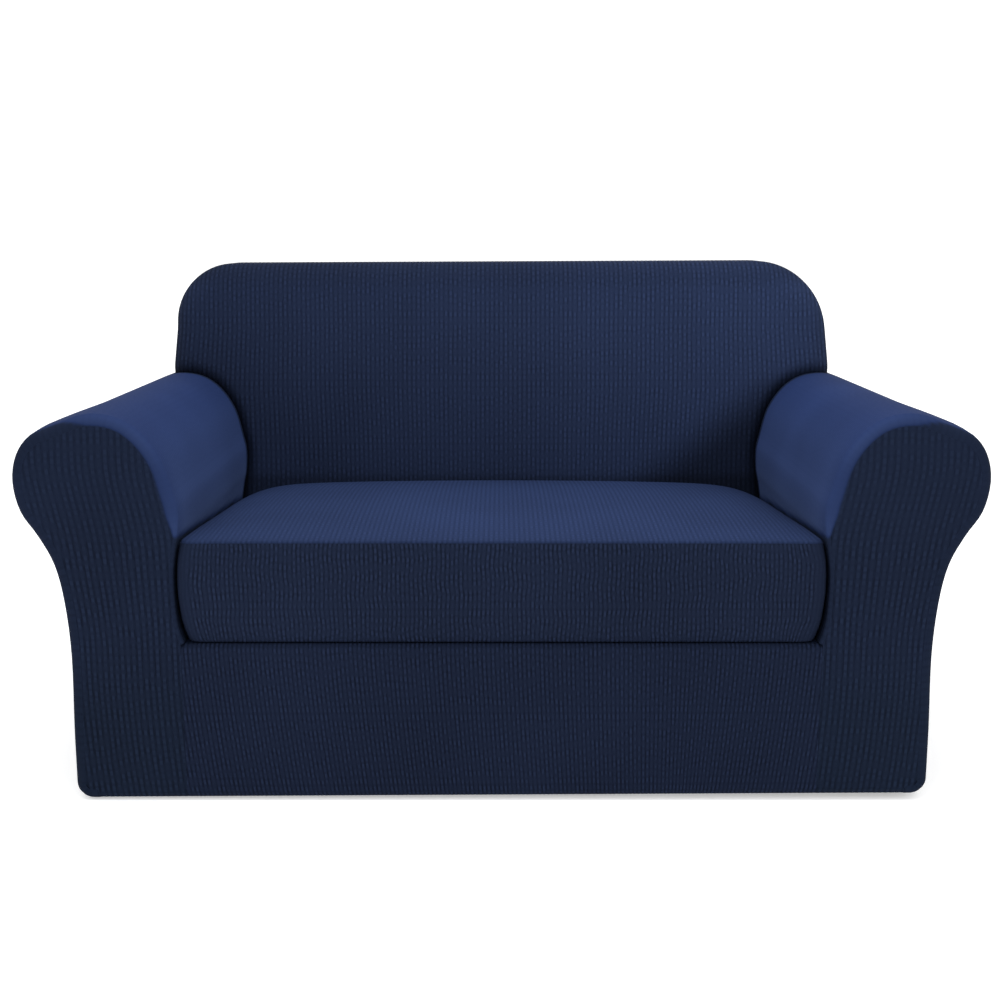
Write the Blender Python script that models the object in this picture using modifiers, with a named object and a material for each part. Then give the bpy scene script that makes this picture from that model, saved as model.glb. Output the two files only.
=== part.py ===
"""Stretch cover for a two-seat sofa with rolled arms: a base cover and a separate seat-cushion cover.

Metres, +Z up, and the front faces -Y. The origin is on the floor, in the middle of the cover's footprint.
The sofa and its cushion are left out, so every piece is a thin sheet, fitted over an empty space.
Outlines are lists of (x, z) points as seen from the front, and the left half mirrors the right.
"""

import math

import bmesh
import bpy
import numpy as np
from mathutils import Matrix, Vector

# Cloth
SHEET = 0.003  # thickness of the padded knit, with its turned seams
GAP = 0.0003  # between two pieces at their seam
NAVY = (0.016, 0.030, 0.085, 1.0)

# The whole cover
DEPTH = 0.925
FACING_CROWN = 0.005  # the facings of the arms are the foremost cloth
FRONT = FACING_CROWN - DEPTH / 2
REAR = DEPTH / 2
EDGE = 0.018  # radius where a side turns into the front or the rear face
LIP = 0.002  # flat strip from the end of that radius to the seam
SIDE_NAMES = {-1: "left", 1: "right"}  # as seen from the front
PAST = 0.02  # how far a trimming form runs past the rear and front faces
HEM_RISE = 0.0055  # the hem hangs level on the left and this much higher for each metre to the right
HEM_SLANT_TOP = 0.250  # the cloth is level from this height up

# Arms: the section from the seat deck, up the inside, over the roll and down to the hem
ARM_SECTION = (  # distance from the middle, height
    (0.5490, 0.2870),
    (0.5550, 0.3045),
    (0.5600, 0.3300),
    (0.5625, 0.3700),
    (0.5625, 0.4100),
    (0.5580, 0.4500),
    (0.5530, 0.4800),
    (0.5530, 0.5200),
    (0.5600, 0.5500),
    (0.5780, 0.6080),
    (0.6100, 0.6530),
    (0.6500, 0.6790),
    (0.7000, 0.6850),
    (0.7500, 0.6690),
    (0.7965, 0.6485),
    (0.8225, 0.6155),
    (0.8315, 0.5690),
    (0.8210, 0.5170),
    (0.7930, 0.4730),
    (0.7685, 0.4230),
    (0.7550, 0.3550),
    (0.7485, 0.2600),
    (0.7510, 0.1300),
    (0.7515, 0.0340),
)
ROLL_SPAN_STEPS = 2
ARM_STATIONS = (-0.25, 0.0, 0.25)  # sections along the straight of an arm
ARM_MIDDLE = (0.665, 0.38)
FACING_RINGS = (0.15, 0.60, 0.88, 1.0)  # of the outline
HEM_CORNER = 0.030  # radius of the rounded lower corners
HEM_STEPS = 4
HEM_TUCK = 0.010  # how far the elastic draws the hem in under the sofa
NARROW_EDGE = 0.004  # edge radius beside the seat cushion, where the arm is flat
NARROW_BELOW = 0.465
FULL_EDGE_ABOVE = 0.525

# Back
BACK_TOP = 0.921
BACK_TOP_RISE = 0.0045  # for each metre to the right
BACK_HALF_WIDTH = 0.712
BACK_FLARE = 0.08  # widening for each metre of height, between the two heights below
BACK_FLARE_TOP = 0.780
BACK_FLARE_FOOT = 0.650
SHOULDER_LEFT = 0.122
SHOULDER_RIGHT = 0.152
BACK_EDGE = 0.045  # radius between its face and its sides
BACK_FOOT = 0.234  # the form that shapes it starts this low, under the seat deck
BACK_FACE_DEPTH = 0.700  # from the front of the cover to the face of the back, at the arms' height
BACK_FACE_HEIGHT = 0.650
RECLINE = 0.20
BACK_CROWN = 0.012
BACK_RINGS = (0.10, 0.40, 0.68, 0.88)  # of the face's outline
BACK_SIDE_HEIGHTS = (BACK_FOOT, 0.45, 0.60, 0.69, 0.74)
INSIDE_BACK = (0.33, 0.60)  # y and z of a point within it
REAR_MIDDLE = (0, 0.45)
REAR_RINGS = (0.5, 1.0)
SHOULDER_CLEAR = 0.01  # from the corner of back and arm to the next point up the back

# Seat
DECK = 0.2850
DECK_EDGE = 0.012
RAIL_HALF_WIDTH = 0.5545
RAIL_ROWS = 6
RAIL_COLUMNS = 9

# Cushion cover
CUSHION_HALF_WIDTH = 0.5585
CUSHION_FRONT = FRONT - 0.004
CUSHION_CORNER = 0.020
CUSHION_CLEAR = 0.004  # from the face of the back
BAND_ROWS = (  # inset from the widest outline, height above the deck
    (0.085, 0.0003),
    (0.024, 0.0003),
    (0.0145, 0.0025),
    (0.0105, 0.0130),
    (0.004, 0.0430),
    (0.000, 0.0900),
    (0.000, 0.1250),
    (0.002, 0.1550),
    (0.0065, 1.0),  # a height of 1 stands for the top edge, which isn't level
)
TOP_FRONT = 0.4670  # top edge at the front
TOP_CROWN = 0.020  # how far the middle stands above the line from the front edge to the rear edge
TOP_SIDE_DROP = 0.010
TOP_CORNER_DROP = 0.028
TOP_FALL = 0.0075  # from the front edge to the rear edge, in the middle
INSIDE_CUSHION = (0, -0.13, 0.36)
TOP_RINGS = (0.08, 0.35, 0.62, 0.80, 0.91, 0.97, 1.0)


# ---------------------------------------------------------------- outlines


def smooth_line(points, steps):
    """A Catmull-Rom curve through the points, with this many straight steps to a span."""
    points = np.array(points, float)
    padded = np.vstack([2 * points[0] - points[1], points, 2 * points[-1] - points[-2]])
    share = (np.arange(steps) / steps)[:, None]
    spans = []
    for before, start, end, after in zip(padded, padded[1:], padded[2:], padded[3:]):
        bend = 2 * before - 5 * start + 4 * end - after
        twist = 3 * start - before - 3 * end + after
        spans.append(start + 0.5 * share * ((end - before) + share * (bend + share * twist)))
    return np.vstack([*spans, points[-1]])


def arc(centre, radius, start, end, steps):
    """Points on a circle, from one angle to another, in degrees from +X towards +Z."""
    angles = np.radians(np.linspace(start, end, steps + 1))
    return np.column_stack([centre[0] + radius * np.cos(angles), centre[1] + radius * np.sin(angles)])


def inward(outline, distance, closed=False):
    """The outline moved to its right-hand side by a distance, or by one distance for each point."""
    if closed:
        along = np.roll(outline, -1, axis=0) - np.roll(outline, 1, axis=0)
    else:
        along = np.gradient(outline, axis=0)
    along /= np.linalg.norm(along, axis=1)[:, None]
    right = np.column_stack([along[:, 1], -along[:, 0]])
    return outline + right * np.reshape(distance, (-1, 1))


def arm_outline():
    """The right arm's section: seat deck, inside, roll, outside, rounded lower corner and tucked hem."""
    wall = smooth_line(ARM_SECTION, ROLL_SPAN_STEPS)
    centre = (ARM_SECTION[-1][0] - HEM_CORNER, HEM_CORNER)
    corner = arc(centre, HEM_CORNER, 0, -90, 4)
    return np.vstack([wall[:-1], corner, corner[-1] - (HEM_TUCK, 0)])


def arm_edge(outline):
    """Edge radius at each point of the section: narrow beside the cushion and full from there on."""
    share = (outline[:, 1] - NARROW_BELOW) / (FULL_EDGE_ABOVE - NARROW_BELOW)
    share = np.clip(share, 0, 1)
    share[np.argmax(outline[:, 1]) :] = 1
    return NARROW_EDGE + (EDGE - NARROW_EDGE) * share * share * (3 - 2 * share)


def back_half_width(height):
    return BACK_HALF_WIDTH + BACK_FLARE * (BACK_FLARE_TOP - np.clip(height, BACK_FLARE_FOOT, BACK_FLARE_TOP))


def back_outline():
    """The back, clockwise from its lower left corner: side, shoulder, top, shoulder, side, foot."""
    heights = np.array(BACK_SIDE_HEIGHTS)
    left = np.column_stack([-back_half_width(heights), heights])
    right = np.column_stack([back_half_width(heights), heights])[::-1]
    sides = (-BACK_HALF_WIDTH + SHOULDER_LEFT, BACK_HALF_WIDTH - SHOULDER_RIGHT)
    tops = [BACK_TOP + BACK_TOP_RISE * x for x in sides]
    first = arc((sides[0], tops[0] - SHOULDER_LEFT), SHOULDER_LEFT, 180, 90, 8)
    second = arc((sides[1], tops[1] - SHOULDER_RIGHT), SHOULDER_RIGHT, 90, 0, 8)
    top = np.linspace(first[-1], second[0], 7)[1:-1]
    foot = np.linspace(right[-1], left[0], 7)[1:-1]
    return np.vstack([left, first, top, second, right, foot])


def back_face(height):
    """Where the reclined face of the back stands at a height, as a y."""
    return FRONT + BACK_FACE_DEPTH + RECLINE * (height - BACK_FACE_HEIGHT)


def hem_lift(x):
    """How far the hem hangs above the floor."""
    return HEM_RISE * (x + ARM_SECTION[-1][0])


def edge_turn(radius, steps=3):
    """(inset, setback) pairs of a quarter round, from the face round to the side."""
    angles = np.linspace(0, math.pi / 2, steps + 1)
    return [(radius * (1 - math.sin(a)), radius * (1 - math.cos(a))) for a in angles]


# ---------------------------------------------------------------- meshes


def clear_scene():
    for obj in list(bpy.data.objects):
        bpy.data.objects.remove(obj, do_unlink=True)
    for collection in list(bpy.data.collections):
        bpy.data.collections.remove(collection)


def cloth_material(name):
    material = bpy.data.materials.new(name)
    material.use_nodes = True
    shader = material.node_tree.nodes["Principled BSDF"]
    shader.inputs["Base Color"].default_value = NAVY
    shader.inputs["Roughness"].default_value = 0.9
    shader.inputs["Metallic"].default_value = 0.0
    material.diffuse_color = NAVY
    return material


def new_object(name, bm, collection):
    """A mesh object, with the hem's slant given to what lies low in it."""
    for vert in bm.verts:
        vert.co.z += hem_lift(vert.co.x) * max(0, 1 - vert.co.z / HEM_SLANT_TOP)
    mesh = bpy.data.meshes.new(name)
    bm.to_mesh(mesh)
    bm.free()
    mesh.shade_smooth()
    mesh.set_sharp_from_angle(angle=math.radians(50))
    obj = bpy.data.objects.new(name, mesh)
    collection.objects.link(obj)
    return obj


def loft(sections, closed, caps=()):
    """A bmesh sheet through sections of equally many points, with a face over each section named in caps."""
    bm = bmesh.new()
    rings = [[bm.verts.new(point) for point in section] for section in sections]
    for ring, following in zip(rings, rings[1:]):
        count = len(ring)
        for i in range(count if closed else count - 1):
            j = (i + 1) % count
            bm.faces.new((ring[i], ring[j], following[j], following[i]))
    for index in caps:
        bm.faces.new(rings[index])
    bmesh.ops.recalc_face_normals(bm, faces=bm.faces[:])
    return bm


def face_towards(bm, point):
    """Turns the faces round together where, on the whole, they look towards a point inside the cover."""
    bm.normal_update()
    away = sum((face.calc_center_median() - point).dot(face.normal) * face.calc_area() for face in bm.faces)
    if away < 0:
        bmesh.ops.reverse_faces(bm, faces=bm.faces[:])
    return bm


def cloth(name, bm, collection):
    """The sheet as cloth: its thickness goes inwards from the faces."""
    obj = new_object(name, bm, collection)
    obj.data.materials.append(cloth_material(name))
    thickness = obj.modifiers.new("Cloth thickness", "SOLIDIFY")
    thickness.thickness = SHEET
    thickness.offset = -1
    thickness.use_even_offset = True
    return obj


def cut(obj, cutters):
    for cutter in cutters:
        boolean = obj.modifiers.new("Cut by " + cutter.name, "BOOLEAN")
        boolean.operation = "DIFFERENCE"
        boolean.solver = "EXACT"
        boolean.object = cutter


def cutter(name, bm, collection):
    obj = new_object(name, bm, collection)
    obj.hide_render = True
    obj.display_type = "WIRE"
    return obj


def at_depth(outline, depth):
    """(x, z) points as (x, y, z) ones, at one y or at one for each point."""
    return np.column_stack([outline[:, 0], np.broadcast_to(depth, len(outline)), outline[:, 1]])


def box(low, high):
    bm = bmesh.new()
    bmesh.ops.create_cube(bm, size=1)
    size = [b - a for a, b in zip(low, high)]
    bmesh.ops.scale(bm, vec=size, verts=bm.verts[:])
    bmesh.ops.translate(bm, vec=[(a + b) / 2 for a, b in zip(low, high)], verts=bm.verts[:])
    return bm


def tuck_hem(bm, face_y, turn):
    """Carries a panel's lowest edge through a quarter round, in under the sofa, up to the arms' hems."""
    bottom = min(vert.co.z for vert in bm.verts)
    reach = arm_outline()[-1][0]
    low = {v for v in bm.verts if v.co.z < bottom + GAP / 2 and abs(v.co.x) < reach}
    edges = [e for e in bm.edges if e.is_boundary and low.issuperset(e.verts)]
    centre = (0, face_y + turn * bottom, bottom)
    step = Matrix.Rotation(turn * math.pi / 2 / HEM_STEPS, 3, "X")
    for _ in range(HEM_STEPS):
        made = bmesh.ops.extrude_edge_only(bm, edges=edges)["geom"]
        low = {item for item in made if isinstance(item, bmesh.types.BMVert)}
        bmesh.ops.rotate(bm, cent=centre, matrix=step, verts=list(low))
        edges = [item for item in made if isinstance(item, bmesh.types.BMEdge) and low.issuperset(item.verts)]
    return bm


# ---------------------------------------------------------------- pieces of the base cover


def arm_sections(side, grown=0.0):
    """The arm's section, carried from the front face to the rear face, with both ends rounded in."""
    outline = arm_outline()
    edge = arm_edge(outline)
    front = [(FRONT + back * edge, into * edge) for into, back in edge_turn(1.0)]
    length = [(y, 0 * edge) for y in ARM_STATIONS]
    rear = [(REAR - back * edge, into * edge) for into, back in reversed(edge_turn(1.0))]
    rows = [(FRONT, edge + LIP), *front, *length, *rear, (REAR, edge + LIP)]
    return [at_depth(inward(outline, inset - grown), y) * (side, 1, 1) for y, inset in rows]


def arm_form(side, collection):
    """The closed form of an arm, which trims the back's cloth to the crease between them."""
    sections = arm_sections(side, grown=GAP)
    sections = [sections[0] - (0, PAST, 0), *sections, sections[-1] + (0, PAST, 0)]
    bm = loft(sections, closed=True, caps=(0, -1))
    return cutter(f"arm_form_{SIDE_NAMES[side]}", bm, collection)


def arm_wrap(side, back, collection):
    """Inside arm, roll and outside arm in one piece, from the seat deck over to the hem."""
    bm = loft(arm_sections(side), closed=False)
    face_towards(bm, Vector((side * ARM_MIDDLE[0], 0, ARM_MIDDLE[1])))
    obj = cloth(f"arm_{SIDE_NAMES[side]}", bm, collection)
    cut(obj, [back])
    return obj


def panel(name, outline, y, turn, collection, middle, crown, shares):
    """A flat panel inside its outline, a little crowned, with its lowest edge turned in as a hem."""
    rings = []
    for share in shares:
        ring = middle + share * (outline - middle)
        rings.append(at_depth(ring, y - turn * crown * (1 - share * share) ** 2))
    bm = loft(rings, closed=True, caps=(0,))
    tuck_hem(bm, y, turn)
    face_towards(bm, Vector((middle[0], 0, middle[1])))
    return cloth(name, bm, collection)


def arm_front(side, collection):
    """The facing of an arm, from the roll down to the hem, between the arm's wrap and the rail."""
    outline = arm_outline()
    outline = inward(outline, arm_edge(outline) + LIP + GAP)
    corner = outline[-1] - (GAP, 0)
    inner = (outline[0][0], corner[1])
    foot = np.linspace(corner, inner, 5)
    inside = np.linspace(inner, outline[0], 5)[1:-1]
    ring = np.vstack([outline[:-1], foot, inside]) * (side, 1)
    middle = np.multiply(ARM_MIDDLE, (side, 1))
    name = f"arm_front_{SIDE_NAMES[side]}"
    return panel(name, ring, FRONT, 1, collection, middle, FACING_CROWN, FACING_RINGS)


def back_sections(grown=0.0):
    """The back's form: its crowned and reclined face, rounded edge, sides and rounded rear edge."""
    outline = back_outline()
    face = inward(outline, BACK_EDGE - grown, closed=True)
    middle = face.mean(axis=0)
    sections = []
    for share in BACK_RINGS:
        ring = middle + share * (face - middle)
        y = back_face(ring[:, 1]) - BACK_CROWN * (1 - share * share) ** 2 - grown
        sections.append(at_depth(ring, y))
    for into, back in edge_turn(BACK_EDGE, 4):
        ring = inward(outline, into - grown, closed=True)
        sections.append(at_depth(ring, back_face(ring[:, 1]) + back - grown))
    for into, back in [*reversed(edge_turn(EDGE)), (EDGE + LIP, 0)]:
        ring = inward(outline, into - grown, closed=True)
        sections.append(at_depth(ring, REAR - back))
    return sections


def back_form(collection):
    """The closed form of the back, which trims the cloth of the arms."""
    sections = back_sections(grown=GAP)
    bm = loft([*sections, sections[-1] + (0, PAST, 0)], closed=True, caps=(0, -1))
    return cutter("back_form", bm, collection)


def back_inside(arms, forms, collection):
    """The face of the back with its top and sides, in one piece, trimmed to the arms and to the seat deck."""
    bm = loft(back_sections(), closed=True, caps=(0,))
    face_towards(bm, Vector((0, INSIDE_BACK[0], INSIDE_BACK[1])))
    obj = cloth("back_inside", bm, collection)
    low = box((-1, -1, -0.1), (1, 1, DECK - SHEET))
    cut(obj, [*arms, cutter("under_deck", low, forms)])
    return obj


def back_outside(collection):
    """The flat rear panel, over the back and the rear ends of both arms."""
    inset = EDGE + LIP + GAP
    arm = arm_outline()
    arm = inward(arm, inset)[np.argmax(arm[:, 1]) :]
    back = inward(back_outline(), inset, closed=True)
    roll = arm[: 3 * ROLL_SPAN_STEPS]
    corner_x = back_half_width(arm[0][1]) - inset - 3 * GAP
    corner = np.array((corner_x, np.interp(corner_x, roll[:, 0], roll[:, 1])))
    arm = arm[arm[:, 0] > corner_x + SHEET]
    arm[-1] -= (GAP, 0)
    half = np.vstack([corner, arm])
    shoulders = back[back[:, 1] > corner[1] + SHOULDER_CLEAR]
    foot = np.linspace(half[-1], half[-1] * (-1, 1), 7)[1:-1]
    ring = np.vstack([shoulders, half, foot, half[::-1] * (-1, 1)])
    return panel("back_outside", ring, REAR, -1, collection, np.array(REAR_MIDDLE), 0, REAR_RINGS)


def front_rail(collection):
    """The front of the seat, from the deck's edge down to the hem, between the facings of the arms."""
    upper = arc((FRONT + DECK_EDGE, DECK - DECK_EDGE), DECK_EDGE, 90, 180, 3)
    upper = np.vstack([upper[0] + (LIP, 0), upper])
    face = np.linspace(upper[-1], (FRONT, EDGE), RAIL_ROWS)[1:-1]
    lower = arc((FRONT + EDGE, EDGE), EDGE, 180, 270, 4)
    profile = np.vstack([upper, face, lower])
    sections = [
        np.column_stack([np.full(len(profile), x), profile])
        for x in np.linspace(-RAIL_HALF_WIDTH, RAIL_HALF_WIDTH, RAIL_COLUMNS)
    ]
    bm = loft(sections, closed=False)
    face_towards(bm, Vector((0, 0, 0.1)))
    return cloth("front_rail", bm, collection)


def seat_deck(collection):
    """The flat cloth under the seat cushion."""
    half_width = ARM_SECTION[0][0] - GAP
    front = FRONT + DECK_EDGE + LIP + GAP
    rear = back_face(DECK - SHEET) - 2 * GAP
    bm = bmesh.new()
    bmesh.ops.create_grid(bm, x_segments=4, y_segments=2, size=0.5)
    bmesh.ops.scale(bm, vec=(2 * half_width, rear - front, 1), verts=bm.verts[:])
    bmesh.ops.translate(bm, vec=(0, (front + rear) / 2, DECK), verts=bm.verts[:])
    return cloth("seat_deck", bm, collection)


# ---------------------------------------------------------------- cushion cover


def cushion_plan(inset, rear):
    """The cushion's outline from above, as (x, y) points, with rounded corners."""
    half_width = CUSHION_HALF_WIDTH - inset - CUSHION_CORNER
    front = CUSHION_FRONT + inset + CUSHION_CORNER
    rear = rear - inset - CUSHION_CORNER
    corners = (
        (-half_width, front, 270),
        (-half_width, rear, 180),
        (half_width, rear, 90),
        (half_width, front, 0),
    )
    arcs = [arc((x, y), CUSHION_CORNER, start, start - 90, 3) for x, y, start in corners]
    ring = []
    for turn, following, steps in zip(arcs, arcs[1:] + arcs[:1], (6, 9, 6, 9)):
        ring += [turn, np.linspace(turn[-1], following[0], steps + 1)[1:-1]]
    return np.vstack(ring)


def cushion_rear(height):
    return back_face(height) - BACK_CROWN - CUSHION_CLEAR


def smooth_share(value):
    value = np.clip(value, 0, 1)
    return value * value * (3 - 2 * value)


def cushion_top_height(plan):
    """The crowned top: level along the front edge, and lower towards the sides at the rear."""
    share = (plan[:, 1] - CUSHION_FRONT) / (cushion_rear(TOP_FRONT) - CUSHION_FRONT)
    across = np.abs(plan[:, 0]) / CUSHION_HALF_WIDTH
    middle = TOP_FRONT + TOP_CROWN * 4 * share * (1 - share) - TOP_FALL * share
    drop = TOP_SIDE_DROP * across**2 + TOP_CORNER_DROP * across**12
    return middle - smooth_share((share - 0.08) / 0.54) * drop


def cushion_band(collection):
    """The sides of the cushion, bulged, and drawn in underneath by an elastic hem around an opening."""
    rings = []
    for inset, rise in BAND_ROWS:
        height = TOP_FRONT if rise == 1 else DECK + rise
        plan = cushion_plan(inset, cushion_rear(height))
        if rise == 1:
            height = cushion_top_height(plan) - SHEET - GAP
        elif rise > 0.1:
            height = DECK + rise * (cushion_top_height(plan) - DECK) / (TOP_FRONT - DECK)
        rings.append(np.column_stack([plan, np.broadcast_to(height, len(plan))]))
    bm = loft(rings, closed=True)
    face_towards(bm, Vector(INSIDE_CUSHION))
    return cloth("cushion_band", bm, collection)


def cushion_top(collection):
    """The top panel, laid on the upper edge of the band."""
    edge = cushion_plan(BAND_ROWS[-1][0], cushion_rear(TOP_FRONT))
    middle = edge.mean(axis=0)
    rings = []
    for share in TOP_RINGS:
        plan = middle + share * (edge - middle)
        rings.append(np.column_stack([plan, cushion_top_height(plan)]))
    bm = loft(rings, closed=True, caps=(0,))
    face_towards(bm, Vector(INSIDE_CUSHION))
    return cloth("cushion_top", bm, collection)


def main():
    clear_scene()
    cover = bpy.data.collections.new("sofa_slipcover")
    forms = bpy.data.collections.new("forms")
    for collection in (cover, forms):
        bpy.context.scene.collection.children.link(collection)
    back = back_form(forms)
    arms = [arm_form(side, forms) for side in SIDE_NAMES]
    for side in SIDE_NAMES:
        arm_wrap(side, back, cover)
        arm_front(side, cover)
    back_inside(arms, forms, cover)
    back_outside(cover)
    front_rail(cover)
    seat_deck(cover)
    cushion_band(cover)
    cushion_top(cover)


main()
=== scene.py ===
# %% [markdown]
# # A stretch cover for a two-seat sofa
#
# The cover is in two parts, as it is sold: a base cover for the arms, back and front of the sofa, and a
# separate cover for the seat cushion. Each panel that a maker cuts is one piece here. A panel starts as a
# flat pattern, a grid whose columns run along the ribs of the knit. The grid is trimmed to the panel's
# outline, bent to its place on the sofa, and given ribs and a thickness.

# %% Tools
import math

import bpy
import numpy as np
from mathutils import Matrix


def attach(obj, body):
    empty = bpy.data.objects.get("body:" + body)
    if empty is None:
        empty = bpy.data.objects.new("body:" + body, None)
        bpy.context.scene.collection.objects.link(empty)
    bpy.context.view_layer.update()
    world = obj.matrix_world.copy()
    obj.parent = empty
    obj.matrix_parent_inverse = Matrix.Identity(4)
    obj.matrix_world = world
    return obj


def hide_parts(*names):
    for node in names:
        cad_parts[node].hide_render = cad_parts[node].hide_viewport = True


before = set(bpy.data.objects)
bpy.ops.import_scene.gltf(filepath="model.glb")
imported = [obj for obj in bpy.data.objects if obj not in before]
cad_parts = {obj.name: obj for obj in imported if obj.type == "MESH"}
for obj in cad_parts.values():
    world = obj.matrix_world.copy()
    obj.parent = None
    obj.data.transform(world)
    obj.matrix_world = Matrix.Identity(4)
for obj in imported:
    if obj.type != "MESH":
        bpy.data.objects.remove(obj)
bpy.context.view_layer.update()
print("CAD nodes:", sorted(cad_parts))

# %% [markdown]
# ## Sizes
#
# These are the named sizes of the part's source, in metres, except that the sides of the cushion's top fall
# a little sooner and further here. The front of the sofa faces -Y, and the outlines are lists of (x, z)
# points as seen from the front. Only the right arm is written down: the left one mirrors it.

# %% Sizes of the whole cover
SHEET = 0.003  # thickness of the padded knit
GAP = 0.0001  # between two panels at their seam
DEPTH = 0.925
FACING_CROWN = 0.005
FRONT = FACING_CROWN - DEPTH / 2
REAR = DEPTH / 2
EDGE = 0.018  # radius where a side turns into the front or rear face
LIP = 0.002  # flat strip from the end of that radius to the seam
PANEL_INSET = EDGE + LIP + GAP
HEM_RISE = 0.0055
HEM_SLANT_TOP = 0.250
SIDES = {"left": -1, "right": 1}
print("front and rear, m:", FRONT, REAR)

# %% Sizes of the arms
ARM_SECTION = (
    (0.5490, 0.2870), (0.5550, 0.3045), (0.5600, 0.3300), (0.5625, 0.3700), (0.5625, 0.4100),
    (0.5580, 0.4500), (0.5530, 0.4800), (0.5530, 0.5200), (0.5600, 0.5500), (0.5780, 0.6080),
    (0.6100, 0.6530), (0.6500, 0.6790), (0.7000, 0.6850), (0.7500, 0.6690), (0.7965, 0.6485),
    (0.8225, 0.6155), (0.8315, 0.5690), (0.8210, 0.5170), (0.7930, 0.4730), (0.7685, 0.4230),
    (0.7550, 0.3550), (0.7485, 0.2600), (0.7510, 0.1300), (0.7515, 0.0340),
)
SECTION_STEPS = 4
HEM_CORNER = 0.030
HEM_TUCK = 0.010
NARROW_EDGE = 0.004  # edge radius beside the seat cushion
NARROW_BELOW = 0.465
FULL_EDGE_ABOVE = 0.525

# %% Sizes of the back, seat and cushion
BACK_TOP = 0.921
BACK_TOP_RISE = 0.0045
BACK_HALF_WIDTH = 0.712
BACK_FLARE = 0.08
BACK_FLARE_TOP = 0.780
BACK_FLARE_FOOT = 0.650
BACK_SIDE_HEIGHTS = (0.234, 0.45, 0.60, 0.65, 0.69, 0.74, 0.78)
SHOULDERS = {"left": 0.122, "right": 0.152}
BACK_EDGE = 0.045
BACK_FACE_DEPTH = 0.700
BACK_FACE_HEIGHT = 0.650
RECLINE = 0.20
BACK_CROWN = 0.012
CROWN_MIDDLE = 0.555
CROWN_REACH = 0.320
DECK = 0.2850
DECK_EDGE = 0.012
RAIL_HALF_WIDTH = 0.5545
CUSHION_HALF_WIDTH = 0.5585
CUSHION_FRONT = FRONT - 0.004
CUSHION_CORNER = 0.020
CUSHION_CLEAR = 0.004
BAND_ROWS = (  # inset from the widest outline, height above the deck
    (0.085, 0.0003), (0.024, 0.0003), (0.0145, 0.0025), (0.0105, 0.0130), (0.004, 0.0430),
    (0.000, 0.0900), (0.000, 0.1250), (0.002, 0.1550), (0.0065, 0.1820),
)
TOP_FRONT = 0.4670
TOP_CROWN = 0.020
TOP_SIDE_DROP = 0.010
TOP_CORNER_DROP = 0.036
DROP_DEPTH = 0.70  # share of its depth over which the top's sides fall to their full drop
TOP_FALL = 0.0075
print("seat height, m:", TOP_FRONT + TOP_CROWN)

# %% [markdown]
# ## Ribs of the knit
#
# The cloth is a stretch knit with fine upright ribs, crossed by short rows, so that it looks like small
# checks. Where it is pulled wider, over the arms and the back, its ribs lie further apart. A rib is only a
# few tenths of a millimetre high, yet its shading is what the eye reads as cloth, so the ribs are real
# geometry with four columns of points to a rib, and the shorter checks are left to the material.

# %% Ribs
FINE_RIB = 0.0077  # from rib to rib on the front and the band
SEAT_RIB = 0.0088
WIDE_RIB = 0.0100  # on the arms and the back
RIB_POINTS = 4
RIB_HEIGHT = 0.00028
CHECK = 0.0134  # length of one check along its rib
FADE = 0.006  # the ribs flatten over this distance beside a seam
STRETCHED = 0.15  # share of a rib's height that is left where the knit is pulled wide


def rib_columns(low, high, pitch):
    """Column places from low to high, a quarter of a rib apart, with both ends kept."""
    step = pitch / RIB_POINTS
    inner = np.arange(math.ceil(low / step + 0.3), math.floor(high / step - 0.3) + 1) * step
    return np.concatenate([[low], inner, [high]])


print("columns across the rail:", len(rib_columns(-RAIL_HALF_WIDTH, RAIL_HALF_WIDTH, FINE_RIB)))

# %% [markdown]
# ## Curves
#
# A maker's curve passes smoothly through a few measured points. A Catmull-Rom spline does the same: between
# two points it is a cubic whose slope at each point is half the step between that point's two neighbours.


# %% Curves
def smooth_line(points, steps):
    """A Catmull-Rom curve: each span is a cubic in its share, with slopes from the neighbouring points."""
    points = np.array(points, float)
    padded = np.vstack([2 * points[0] - points[1], points, 2 * points[-1] - points[-2]])
    share = (np.arange(steps) / steps)[:, None]
    spans = []
    for before, start, end, after in zip(padded, padded[1:], padded[2:], padded[3:]):
        bend = 2 * before - 5 * start + 4 * end - after
        twist = 3 * start - before - 3 * end + after
        spans.append(start + 0.5 * share * ((end - before) + share * (bend + share * twist)))
    return np.vstack([*spans, points[-1]])


def arc(centre, radius, start, end, steps):
    """Points on a circle: centre plus radius times (cosine, sine) of evenly spaced angles, in degrees."""
    angles = np.radians(np.linspace(start, end, steps + 1))
    return np.column_stack([centre[0] + radius * np.cos(angles), centre[1] + radius * np.sin(angles)])


def right_of(outline):
    """Unit vectors to the right-hand side of an outline: its direction at each point, turned by a quarter."""
    along = np.gradient(outline, axis=0)
    along = along / np.linalg.norm(along, axis=1)[:, None]
    return np.column_stack([along[:, 1], -along[:, 0]])


def ramp(value, start, width):
    """Rises smoothly from 0 at start to 1 at start + width: 3v² - 2v³, v being the share of the width
    passed. With a negative width it falls off below start instead."""
    share = np.clip((value - start) / width, 0, 1)
    return share * share * (3 - 2 * share)


def fading(distance, share, reach):
    """A share that fades with distance: share times exp(-distance / reach)."""
    return share * np.exp(-distance / reach)


def lengths(outline):
    """Distance along a line of points, from its first point."""
    return np.concatenate([[0], np.cumsum(np.linalg.norm(np.diff(outline, axis=0), axis=1))])


def together(*values):
    """Arrays and numbers, spread over one grid and stacked along a new last axis."""
    return np.stack(np.broadcast_arrays(*values), axis=-1)


arm_wall = smooth_line(ARM_SECTION, SECTION_STEPS)
print("points on the arm's wall:", len(arm_wall), "length, m:", round(lengths(arm_wall)[-1], 3))

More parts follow.
